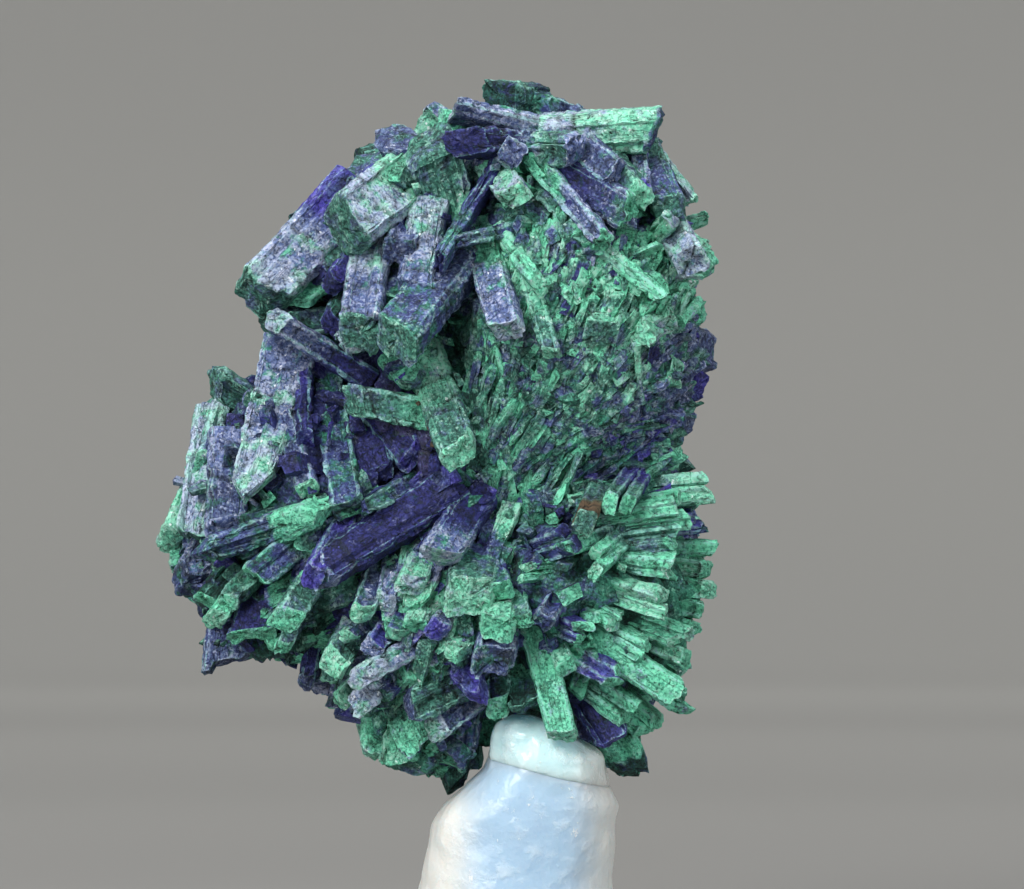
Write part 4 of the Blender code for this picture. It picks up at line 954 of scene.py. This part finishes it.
# %% [markdown]
# ## The back, the sides and the outline
# Round the back the crystals stand out of each heart like the spines of a sea
# urchin. The golden turn spreads directions evenly over a ball: each step goes round
# by the same angle and up by the same height. These repeat the solids' own sprays,
# draw for draw, so that the dressed specimen keeps the solid one's shape.

# %% Sprays, as in the solids
GOLDEN_TURN = math.pi * (3 - math.sqrt(5))
# each spray: how many, widths, thicknesses, and how far the tips stand off the heart
SPRAYS = {
    "upper right": (40, (2.4, 3.8), (1.4, 2.4), (0.8, 1.9)),
    "upper left": (26, (2.2, 3.6), (1.4, 2.4), (0.8, 1.8)),
    "left": (30, (2.2, 3.4), (1.2, 2.0), (0.8, 1.9)),
    "lower right": (36, (2.0, 3.2), (1.0, 1.7), (0.9, 2.0)),
    "lower middle": (24, (2.0, 3.2), (1.2, 1.9), (0.7, 1.6)),
    "waist": (14, (2.0, 3.2), (1.2, 1.9), (0.6, 1.4)),
}
SPRAY_FROM = -0.1
SPRAY_LEAN = 1.8
SPRAY_ROOT = 1.6
SPRAY_SEED = 7
SPRAY_JITTER = 0.08
SPRAY_ROLL = 60
SPRAY_POINT = 0.5
POST_U, POST_REACH, POST_FROM_V = 27.2, 3.4, 35.4
BACK_DEPTH = -8.4


def near_post(point):
    """True where the post comes up into the specimen."""
    return abs(point[0] - POST_U) < POST_REACH and point[1] > POST_FROM_V


def buried(point, growth):
    """True inside another growth's heart, where the scaled distance to its middle is under one."""
    inside = (((point - MIDDLES) / HALVES) ** 2).sum(axis=1) < 1
    return any(inside[number] for number, name in enumerate(HEARTS) if name != growth)


def directions(count, random, jitter):
    """Directions over a ball by the golden turn, each moved a little: ring = root of 1 - height squared."""
    for number in range(count):
        height = 1 - 2 * (number + 0.5) / count
        ring, turn = math.sqrt(1 - height * height), number * GOLDEN_TURN
        yield np.array((ring * math.cos(turn), height, ring * math.sin(turn))) + random.normal(0, jitter, 3)


def sprays():
    """Each tip stands off the heart's surface along its direction, and its root leans aside under it."""
    random = np.random.default_rng(SPRAY_SEED)
    colours = np.random.default_rng(SPRAY_SEED + 10)
    for name, (count, widths, thicks, stands) in SPRAYS.items():
        middle, half = HEARTS[name]
        for number, out in enumerate(directions(count, random, SPRAY_JITTER)):
            stand_off, width = random.uniform(*stands), random.uniform(*widths)
            thick = random.uniform(*thicks)
            roll, point = random.uniform(-SPRAY_ROLL, SPRAY_ROLL), random.uniform(0, SPRAY_POINT)
            lean = random.normal(0, SPRAY_LEAN, 3)
            if out[2] > SPRAY_FROM:
                continue
            surface = np.array(middle) + out * half
            away = out / np.linalg.norm(out)
            tip = surface + away * stand_off
            root = surface - away * SPRAY_ROOT + lean - away * (lean @ away)
            if buried(tip, name) or near_post(tip) or not inside_outline(root):
                continue
            while not inside_outline(tip + away * width / 2):
                tip = tip - 0.2 * away
            tip[2] = max(tip[2], BACK_DEPTH)
            yield crystal(
                *place([tip, root]), width * DRAWN, thick * DRAWN, roll, point,
                blends_at(tip, colours), 1000 + number, cell=0.32 * MM, rough=1.2)


print(sum(count for count, _, _, _ in SPRAYS.values()), "directions for the sprays")

# %% A fringe round the outline
FRINGE_STEP = {"stout": 3.0, "fan": 1.7}
FRINGE_DEPTHS = (-3.4, 1.4)
FRINGE_LENGTH = 4.0
FRINGE_INSET = 0.4
FRINGE_WIDTHS = {"stout": (1.8, 2.8), "fan": (0.9, 1.5)}
FRINGE_THICKS = {"stout": (1.0, 1.7), "fan": (0.7, 1.1)}
FRINGE_ROLL = 70
FRINGE_POINTS = (0.1, 0.6)
FAN_CORNER = (32.5, 24.0)


def fringe():
    """Steps round the outline; at each, a crystal from the nearest heart's side out to it."""
    random = np.random.default_rng(SPRAY_SEED + 1)
    colours = np.random.default_rng(SPRAY_SEED + 11)
    left_over = 0.0
    for start, end in zip(OUTLINE, np.roll(OUTLINE, -1, axis=0)):
        side = np.linalg.norm(end - start)
        kind = "fan" if (start > FAN_CORNER).all() else "stout"
        while left_over < side:
            edge = start + (end - start) * left_over / side
            left_over += FRINGE_STEP[kind] * random.uniform(0.7, 1.3)
            nearest = np.argmin(np.linalg.norm((edge - MIDDLES[:, :2]) / HALVES[:, :2], axis=1))
            inward = MIDDLES[nearest, :2] - edge
            inward = inward / np.linalg.norm(inward)
            depth = random.uniform(*FRINGE_DEPTHS)
            tip = np.array((*(edge + FRINGE_INSET * inward), depth))
            root = np.array((*(edge + FRINGE_LENGTH * inward), 0.5 * depth)) + random.normal(0, 0.5, 3)
            width, thick = random.uniform(*FRINGE_WIDTHS[kind]), random.uniform(*FRINGE_THICKS[kind])
            roll, point = random.uniform(-FRINGE_ROLL, FRINGE_ROLL), random.uniform(*FRINGE_POINTS)
            if near_post(tip):
                continue
            yield crystal(
                *place([tip, root]), width * DRAWN, thick * DRAWN, roll, point,
                blends_at((*edge, 2.0), colours), int(1000 * left_over) + 2000, cell=0.28 * MM)
        left_over -= side


back_crystals = join("back_crystals", [*sprays(), *fringe()], CRYSTALS)

# %% [markdown]
# ## Small crystals between the large ones
# On the real specimen no smooth ground shows anywhere: between the large crystals
# stand small ones, and between those smaller ones. They are placed by the golden turn
# again, hundreds to a heart, with only a few dozen faces each, because they are seen
# as grain and not one by one. The sides and the back, where no crystal is listed,
# get middling ones too. In front of the fan and the book there are fewer.

# %% Small and middling crystals all over the hearts
SMALL_COUNTS = {
    "upper right": 640, "upper left": 360, "left": 420, "lower right": 520, "lower middle": 380,
    "waist": 360, "crown": 220, "right edge": 190, "left foot": 200, "lower edge": 240, "bottom": 150,
}
SMALL_JITTER, SMALL_LEAN, SMALL_ROLL = 0.05, 1.1, 80
SMALL_THICKS, SMALL_POINTS = (0.45, 0.9), (0, 0.6)
THINNED = 0.8
# two boxes, each from a low corner to a high one in U, V and D
FEWER_IN = (((30.0, 24.5, 2.5), (40.0, 40.0, 12.0)), ((24.8, 14.5, 4.0), (33.0, 24.0, 12.0)))
SIZES = {
    "small": dict(seed=21, share=1.0, lengths=(1.2, 2.8), widths=(0.4, 1.3), rises=(0.0, 0.7), before=12.0),
    "middling": dict(seed=22, share=0.5, lengths=(2.0, 3.6), widths=(0.9, 1.9), rises=(0.3, 1.2), before=3.0),
}


def between(seed, share, lengths, widths, rises, before):
    """Short tips just off the heart's surface, each leaning its own way, inside the outline.

    Tip = surface + direction * rise + the part of a random lean that runs along the
    surface. The share thins out the counts, and no tip stands before a given D.
    """
    random = np.random.default_rng(seed)
    for name, count in SMALL_COUNTS.items():
        middle, half = (np.array(x) for x in HEARTS[name])
        for out in directions(int(share * count), random, SMALL_JITTER):
            length, width = random.uniform(*lengths), random.uniform(*widths)
            thick, roll = width * random.uniform(*SMALL_THICKS), random.uniform(-SMALL_ROLL, SMALL_ROLL)
            rise = random.uniform(*rises)
            lean = random.normal(0, SMALL_LEAN, 3)
            surface = middle + out * half
            away = out / np.linalg.norm(out)
            tip = surface + away * rise + (lean - away * (lean @ away))
            root = tip - away * length - (lean - away * (lean @ away)) * 0.9
            tip[2], root[2] = max(tip[2], BACK_DEPTH), max(root[2], BACK_DEPTH + 0.6)
            if tip[2] > before or buried(tip, name) or near_post(tip):
                continue
            if not inside_outline(tip + away * width / 2):
                continue
            thinned = any((tip > low).all() and (tip < high).all() for low, high in FEWER_IN)
            if thinned and random.uniform() < THINNED:
                continue
            yield crystal(
                *place([tip, root]), width * DRAWN, thick * DRAWN, roll, random.uniform(*SMALL_POINTS),
                blends_at(tip, random), int(random.integers(1 << 30)), cell=0.75 * MM, rough=0.6)


small = join("small_crystals", [*between(**SIZES["small"])], CRYSTALS)
middling = join("middling_crystals", [*between(**SIZES["middling"])], CRYSTALS)

# %% [markdown]
# ## Plates that fan out
# To the right of the middle, thin blades lie packed like the pages of a fanned book,
# so only their worn edges show, as ridges that run up and to the right. At the lower
# left thin sheets spread like petals. Two sets of small plates follow those lines:
# in each, a plate points away from the corner that its set fans out from.

# %% Plates of the book and the petals
PLATE_SETS = {
    "book": dict(
        corner=(24.6, 25.6), middle=(29.4, 17.8), half=(6.0, 7.8), count=900, lengths=(1.6, 3.4),
        widths=(0.35, 0.85), thicks=(0.7, 1.5), rises=(-0.25, 0.15), roll=25, points=(0.1, 0.7)),
    "petals": dict(
        corner=(24.8, 23.6), middle=(18.6, 30.6), half=(6.2, 5.6), count=230, lengths=(2.0, 4.2),
        widths=(0.7, 1.7), thicks=(0.3, 0.6), rises=(0.1, 1.2), roll=40, points=(0.3, 0.9)),
}
PLATE_SEED = 31
PLATE_BEND = 0.22
PLATE_SINK = 0.5


def plates(corner, middle, half, count, lengths, widths, thicks, rises, roll, points):
    """Plates by the golden turn over an oval, pointing away from a corner and lying along the heart."""
    random = np.random.default_rng(PLATE_SEED)
    for number in range(count):
        turn, far = number * GOLDEN_TURN, math.sqrt((number + 0.5) / count)
        u, v = middle + np.array(half) * far * np.array((math.cos(turn), math.sin(turn)))
        away = np.array((u, v)) - corner
        away = away / np.linalg.norm(away)
        bend = random.normal(0, PLATE_BEND)
        away = away @ np.array([(math.cos(bend), math.sin(bend)), (-math.sin(bend), math.cos(bend))])
        length, width, thick = random.uniform(*lengths), random.uniform(*widths), random.uniform(*thicks)
        rise, tilt, point = random.uniform(*rises), random.uniform(-roll, roll), random.uniform(*points)
        end_u, end_v = (u, v) - away * length
        tip = (u, v, surface_depth(u, v) + rise)
        root = (end_u, end_v, surface_depth(end_u, end_v) + rise - PLATE_SINK)
        if not inside_outline((u, v)) or near_post(tip):
            continue
        yield crystal(
            *place([tip, root]), width * DRAWN, thick * DRAWN, tilt, point,
            blends_at(tip, random), int(random.integers(1 << 30)), cell=0.6 * MM, rough=0.8)


strewn = [plate for spread in PLATE_SETS.values() for plate in plates(**spread)]
layered_plates = join("layered_plates", strewn, CRYSTALS)

# %% [markdown]
# ## The ground they grew on
# Behind everything is a crust of grains too fine to model one by one. It is a ball
# stretched to each heart's size, with its surface pushed in and out by three sizes
# of noise. A remesh of a noise volume would give overhangs too, but nothing of them
# would be seen between the crystals.

# %% The crust of each heart
CRUST_AROUND = 96
CRUST_UP = 56
CRUST_SHIFT = 9.0
CRUST_SIZES = (1.6, 0.55, 0.3)


def crust(middle, half, seed):
    """A ball by turn and height, stretched to the heart, plus coarse, middling and fine noise outwards."""
    turn = np.arange(CRUST_AROUND) * 2 * math.pi / CRUST_AROUND
    tilt = (np.arange(1, CRUST_UP) / CRUST_UP - 0.5) * math.pi
    ring = np.cos(tilt)[:, None]
    ball = np.stack([ring * np.cos(turn), np.sin(tilt)[:, None] + 0 * turn, ring * np.sin(turn)], axis=-1)
    ball = np.concatenate([ball.reshape(-1, 3), [(0, 1, 0), (0, -1, 0)]])
    spot = np.array(middle) + ball * half
    coarse, fine, finest = (
        grain(spot + CRUST_SHIFT, size, seed + number) for number, size in enumerate(CRUST_SIZES))
    spot = spot + ball * ((coarse - 0.75) * 1.0 + (fine - 0.5) * 0.6 + (finest - 0.5) * 0.35)[:, None]
    near = np.exp(-(((spot[:, None, :2] - AREA_PLACES[:, :2]) / AREA_PLACES[:, 2:]) ** 2).sum(axis=-1))
    front = near @ AREA_BLENDS / (near.sum(axis=1, keepdims=True) + 1e-6)
    behind = smooth(grain(spot + BACK_SHIFT, BACK_WAVES, 11), 0.46, 0.58)[:, None]
    behind = np.array(BLENDS["g"]) * (1 - behind) + np.array(BLENDS["S"]) * behind
    forward = smooth(spot[:, 2], -1.0, 1.5)[:, None]
    blend = behind + (front - behind) * forward
    # lighter where the fine noise pushes the crust out, and darker through the pit mark where it is pushed
    # in: painted light and painted shade
    blend[:, 1] = blend[:, 1] * 0.5 + 0.35 * fine
    pit = smooth(0.6 - fine, 0.0, 0.4)
    marks = np.concatenate([blend, 0 * pit[:, None], pit[:, None]], axis=-1)
    quads, fans = ring_faces(CRUST_UP - 1, CRUST_AROUND)
    points = place(spot)
    return points, quads[:, ::-1], fans[:, ::-1], marks, points * 1.0


crusts = [crust(*shape, 60 + 3 * number) for number, shape in enumerate(HEARTS.values())]
ground_crust = join("ground_crust", crusts, CRYSTALS)

# %% [markdown]
# ## The post and the bead of tack
# The specimen stands on a stub of milky plastic rod, with a bead of clear tack pressed
# round its foot. Both are rings carried up through a list of levels, smoothed by a
# curve through them. A simple cylinder would miss the softened shoulder and the lean
# of the bead. The two share one outline and meet in a slanting joint, so each ring's
# height follows the slant more and more as it nears the joint.

# %% The post's levels and the curve through them
# each level: its height, its middle to the right and forward, its half width and half depth
POST_LEVELS = np.array([
    (0.0, 0.0, 0.0, 6.5, 6.3), (0.7, 0.0, 0.0, 6.4, 6.2), (1.7, 0.0, 0.1, 5.4, 5.2),
    (3.6, 0.0, 0.3, 4.8, 4.8), (5.5, 0.2, 0.5, 4.7, 4.8), (7.2, 0.4, 0.8, 4.5, 4.7),
    (7.8, 0.7, 0.9, 4.3, 4.6), (8.7, 1.0, 1.2, 3.6, 4.3), (9.7, 1.4, 1.6, 3.0, 3.9),
    (10.5, 1.4, 1.9, 2.8, 3.5), (11.0, 1.1, 2.2, 2.4, 3.0), (11.6, 0.5, 2.7, 1.6, 2.2),
    (12.1, 0.3, 3.1, 1.0, 1.3), (12.4, 0.2, 3.3, 0.3, 0.4),
])


def level_at(height, column):
    """A smooth curve through one column of the levels: cubic between pairs, slopes from their neighbours."""
    heights, values = POST_LEVELS[:, 0], POST_LEVELS[:, column]
    slopes = np.gradient(values, heights)
    at = np.clip(np.searchsorted(heights, height) - 1, 0, len(heights) - 2)
    gap = heights[at + 1] - heights[at]
    s = (np.clip(height, heights[0], heights[-1]) - heights[at]) / gap
    rise = values[at + 1] - values[at]
    bend = s * (1 - s) * ((1 - s) * (slopes[at] * gap - rise) - s * (slopes[at + 1] * gap - rise))
    return values[at] + rise * s + bend


print("the post is", round(float(POST_LEVELS[-1, 0] * DRAWN / MM), 1), "mm high with its bead")

# %% Rings carried up
POST_AROUND = 160
POST_UP = 90
CAP_RINGS = 12
ROUNDNESS = 2.3
RIM_INSET, RIM_REACH = 0.05, 0.10
POST_LUMPS, BEAD_LUMPS = 0.34, 0.4
COARSE_LUMP, FINE_LUMP, FINE_SHARE = 2.6, 0.8, 0.35
JOINT_HEIGHT, JOINT_SLOPE, JOINT_HALF, JOINT_HALF_GAP = 9.5, -0.24, 3.1, 0.004


def rod_piece(name, finish, low, high):
    """Rings from low to high, two functions of a side's direction, closed by rings that shrink.

    A ring is a rounded square of the level's half widths. Two sizes of noise push it in
    and out, more above the joint, and a narrow inset rounds the two rims.
    """
    turn = np.arange(POST_AROUND) * 2 * math.pi / POST_AROUND
    round_to = np.stack([np.cos(turn), np.sin(turn)], axis=-1)
    up = np.linspace(0, 1, POST_UP)
    height = low(turn) + (high(turn) - low(turn)) * up[:, None]
    rims = np.exp(-(height - low(turn)) / RIM_REACH) + np.exp(-(high(turn) - height) / RIM_REACH)
    bulge = (np.abs(round_to) ** ROUNDNESS).sum(axis=-1) ** (-1 / ROUNDNESS)
    middle = np.stack([level_at(height, 1), -level_at(height, 2)], axis=-1)
    halves = np.stack([level_at(height, 3), level_at(height, 4)], axis=-1) - RIM_INSET * rims[..., None]
    body = np.concatenate([middle + halves * bulge[:, None] * round_to, height[..., None]], axis=-1)
    lumps = smooth(height, 0.0, 1.2) * (POST_LUMPS + BEAD_LUMPS * smooth(height, 9.6, 10.8))
    fine_lumps = FINE_SHARE * (grain(body + 30, FINE_LUMP, 82) - 0.5)
    lumps = lumps * (grain(body + 30, COARSE_LUMP, 81) - 0.5 + fine_lumps)
    body[..., :2] += lumps[..., None] * round_to
    shrink = np.linspace(1, 0, CAP_RINGS)[1:-1, None, None]
    under, over = body[0].mean(axis=0), body[-1].mean(axis=0)
    below, above = under + (body[0] - under) * shrink[::-1], over + (body[-1] - over) * shrink
    rings = np.concatenate([below, body, above])
    quads, fans = ring_faces(len(rings), POST_AROUND)
    points = np.concatenate([rings.reshape(-1, 3), [over], [under]]) * DRAWN
    mesh = bpy.data.meshes.new(name)
    mesh.from_pydata(points.tolist(), [], quads.tolist() + fans.tolist())
    mesh.shade_smooth()
    mesh.set_sharp_from_angle(angle=math.radians(60))
    mesh.materials.append(finish)
    piece = add_to_scene(name, mesh)
    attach(piece, "root")
    print(f"{name}: {len(mesh.polygons)} faces")
    return piece


def joint_height(turn):
    """The slanting joint's height on each side: its middle height + its slope times the half width."""
    return JOINT_HEIGHT + JOINT_SLOPE * JOINT_HALF * np.cos(turn)


print("the joint's lowest side stands", round(float(joint_height(0.0) * DRAWN / MM), 1), "mm up")


# %% [markdown]
# ## Milky plastic
# The rod is not clear: light scatters inside it, so it glows a cold blue in the
# middle and goes whiter at its rounded sides. Subsurface scattering adds some of this,
# and the rest is painted into the base colour, blue in the middle and whiter to the
# sides: a painted glow.
# Fine scratches and a few white scuffs come from stretched noise.

# %% The finishes of the post and the bead
ROD_PAINTED_GLOW_CORE, ROD_PAINTED_PALE_SIDES, ROD_HALF = (0.42, 0.590, 0.75), (0.80, 0.81, 0.78), 4.4 * MM
TACK_PAINTED_GLOW_CORE, TACK_PAINTED_PALE_SIDES, TACK_HALF = (0.58, 0.84, 0.90), (0.82, 0.90, 0.86), 4.0 * MM
CLOUD_WHITE, SCUFF_WHITE = (0.74, 0.82, 0.86), (0.93, 0.95, 0.96)
ROD_MIDDLE = 0.7 * MM


def milky_finish(name, core, rim, half, transmission, rough):
    """Base colour from core to rim by how far to the side, a painted glow of scattered light, with clouds and
    scuffs over it.
    """
    finish = Finish(name)
    across = finish.node("ShaderNodeSeparateXYZ", {}, {"Vector": finish.object_place})
    waves = finish.noise(2.4 * MM, 3.0)
    # blue in the middle, whiter to the sides: a painted glow of light scattered in the rod
    aside = (across - ROD_MIDDLE) * (1 / half)
    side = (aside * aside + (waves - 0.5) * 0.5).step(0.1, 1.25)
    colour = finish.mix(core, rim, side)
    clouds = finish.noise(1.5 * MM, 4.0, roughness=0.65).step(0.50, 0.72)
    colour = finish.mix(colour, CLOUD_WHITE, clouds * 0.35)
    drawn_out = {"Vector": finish.object_place, "Scale": (0.7, 1.0, 0.5)}
    stretched = finish.node("ShaderNodeMapping", {}, drawn_out)
    scuffs = finish.noise(0.6 * MM, 5.0, stretched, roughness=0.75).step(0.62, 0.68)
    colour = finish.mix(colour, SCUFF_WHITE, scuffs * 0.7)
    height = waves * 2.0 + clouds * 0.4 + scuffs * 0.5 + finish.noise(0.7 * MM, 3.0) * 0.6
    normal = finish.node("ShaderNodeBump", {}, {"Strength": 0.6, "Distance": 0.22 * MM, "Height": height})
    finish.set(
        Base_Color=colour, Roughness=rough + scuffs * 0.3 + clouds * 0.15, Normal=normal, IOR=1.49,
        Transmission_Weight=transmission, Subsurface_Weight=0.7, Subsurface_Scale=0.002,
        Subsurface_Radius=(0.7, 0.9, 1.0))
    return finish.material


MILKY_ROD = milky_finish("milky_rod_plastic", ROD_PAINTED_GLOW_CORE, ROD_PAINTED_PALE_SIDES, ROD_HALF, 0.06, 0.32)
CLEAR_TACK = milky_finish("clear_tack_gel", TACK_PAINTED_GLOW_CORE, TACK_PAINTED_PALE_SIDES, TACK_HALF, 0.08, 0.22)

# %% Build the post and the bead
post = rod_piece(
    "milky_post", MILKY_ROD, lambda turn: 0 * turn, lambda turn: joint_height(turn) - JOINT_HALF_GAP)
bead = rod_piece(
    "tack_round_the_foot", CLEAR_TACK, lambda turn: joint_height(turn) + JOINT_HALF_GAP,
    lambda turn: POST_LEVELS[-1, 0] + 0 * turn)
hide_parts("display_post")
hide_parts("tack_bead")

# %% Hide the solid cluster that the crystals replace
placed_by_hand = [upper_crystals, lower_crystals, fan_crystals]
placed_by_rule = [back_crystals, small, middling, layered_plates, ground_crust]
for piece in placed_by_hand + placed_by_rule:
    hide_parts("crystal_cluster")
print(len(placed_by_hand), "pieces were placed by hand and", len(placed_by_rule), "by rule")

# %% [markdown]
# ## The backdrop and the floor
# The specimen was photographed against a plain grey. A bowl stands in for a
# photographer's sweep: a floor that curves up into a wall all the way round, so every
# view meets the same grey and no corner shows.

# %% A bowl for a sweep
BOWL_FLOOR = 0.55
BOWL_CURVE = 0.45
BOWL_WALL = 1.3
BOWL_AROUND = 128


def bowl():
    """A profile carried round: flat to the curve, a quarter circle up, then a straight wall."""
    bend = np.linspace(0, math.pi / 2, 24)
    curve = BOWL_FLOOR + BOWL_CURVE * np.sin(bend[1:])
    reach = np.concatenate([[0.02, 0.2, BOWL_FLOOR], curve, [BOWL_FLOOR + BOWL_CURVE]])
    height = np.concatenate([[0, 0, 0], BOWL_CURVE * (1 - np.cos(bend[1:])), [BOWL_WALL]])
    turn = np.arange(BOWL_AROUND) * 2 * math.pi / BOWL_AROUND
    points = np.stack([
        reach[:, None] * np.cos(turn), reach[:, None] * np.sin(turn), height[:, None] + 0 * turn], axis=-1)
    quads, fans = ring_faces(len(reach), BOWL_AROUND)
    points = np.concatenate([points.reshape(-1, 3), [(0, 0, BOWL_WALL), (0, 0, 0)]])
    floor_fan = fans[BOWL_AROUND:]
    mesh = bpy.data.meshes.new("backdrop")
    faces = [face[::-1] for face in quads.tolist()] + [face[::-1] for face in floor_fan.tolist()]
    mesh.from_pydata(points.tolist(), [], faces)
    mesh.shade_smooth()
    return add_to_scene("backdrop", mesh)


# how far out in metres, and the paper's grey there: darker near the middle, where the panels light the floor
# most, a painted shade that evens out the light
PAPER_GREYS_AND_PAINTED_SHADE = [
    (0.08, (0.167, 0.165, 0.158)), (0.20, (0.193, 0.191, 0.182)), (0.37, (0.252, 0.249, 0.237)),
    (0.50, (0.335, 0.331, 0.315)), (0.60, (0.366, 0.362, 0.345)), (0.76, (0.387, 0.383, 0.365)),
    (0.84, (0.374, 0.370, 0.354)),
]
backdrop = bowl()
paper = Finish("grey_backdrop_paper")
on_the_floor = {0: paper.object_place, 1: (1, 1, 0)}
level_place = paper.node("ShaderNodeVectorMath", {"operation": "MULTIPLY"}, on_the_floor)
reach = paper.node("ShaderNodeVectorMath", {"operation": "LENGTH"}, {0: level_place}, 1)
paper.set(Base_Color=paper.ramp(reach, PAPER_GREYS_AND_PAINTED_SHADE), Roughness=0.9)
backdrop.data.materials.append(paper.material)
print("the sweep's wall stands", round(BOWL_FLOOR + BOWL_CURVE, 2), "m away")

# %% [markdown]
# ## Light
# Four large soft panels and a pale sky over the bowl give the even light of a
# mineral photograph: the key from the upper left, a weak one low on the left, a wide
# fill from the right and one from above. Large panels keep shadows soft, while the
# gaps between crystals still go dark by themselves.

# %% Panels and sky
MIDDLE = (0.0, 0.0, 0.031)


def panel(name, where, size, power, colour):
    """A square area light that faces the specimen's middle."""
    light = bpy.data.lights.new(name, "AREA")
    light.size, light.energy, light.color = size, power, colour
    made = add_to_scene(name, light)
    made.location = where
    back = np.array(where) - MIDDLE
    made.rotation_euler = (
        math.acos(back[2] / np.linalg.norm(back)), 0.0, math.atan2(back[1], back[0]) + math.pi / 2)


panel("key_panel", (-0.25, -0.45, 0.42), 0.30, 4.3, (1.0, 0.98, 0.95))
panel("low_panel", (-0.38, -0.48, 0.06), 0.30, 1.7, (0.97, 0.98, 1.0))
panel("fill_panel", (0.45, -0.35, 0.15), 0.40, 1.5, (0.92, 0.96, 1.0))
panel("top_panel", (0.05, 0.10, 0.60), 0.40, 2.8, (1.0, 1.0, 1.0))
sky = bpy.data.worlds.new("sky")
sky.use_nodes = True
sky.node_tree.nodes["Background"].inputs["Color"].default_value = (0.95, 0.97, 1.0, 1)
sky.node_tree.nodes["Background"].inputs["Strength"].default_value = 0.60
bpy.context.scene.world = sky
print("four panels and a sky")

# %% [markdown]
# ## The camera
# A long lens from the front keeps the crystals in their true proportions. The frame
# is 1024 by 889, and what it spans at the specimen is worked out from the drawing, in
# which a drawn unit is twenty pixels.

# %% A long lens
FRAME_WIDE, FRAME_HIGH = 1024, 889
DRAWN_PER_PIXEL = 0.05
CAMERA_FAR = 0.45
SENSOR = 36.0

span = FRAME_WIDE * DRAWN_PER_PIXEL * DRAWN
aim = place((FRAME_WIDE / 2 * DRAWN_PER_PIXEL, FRAME_HIGH / 2 * DRAWN_PER_PIXEL, FOOT_D))
lens = bpy.data.cameras.new("camera")
lens.sensor_width, lens.lens = SENSOR, SENSOR * CAMERA_FAR / span
lens.clip_start, lens.clip_end = 0.01, 10
camera = add_to_scene("camera", lens)
camera.location = (aim[0], aim[1] - CAMERA_FAR, aim[2])
camera.rotation_euler = (math.pi / 2, 0, 0)
bpy.context.scene.camera = camera
bpy.context.scene.view_settings.view_transform = "Standard"
print("lens", round(lens.lens), "mm, spanning", round(span / MM, 1), "mm")

# %% [markdown]
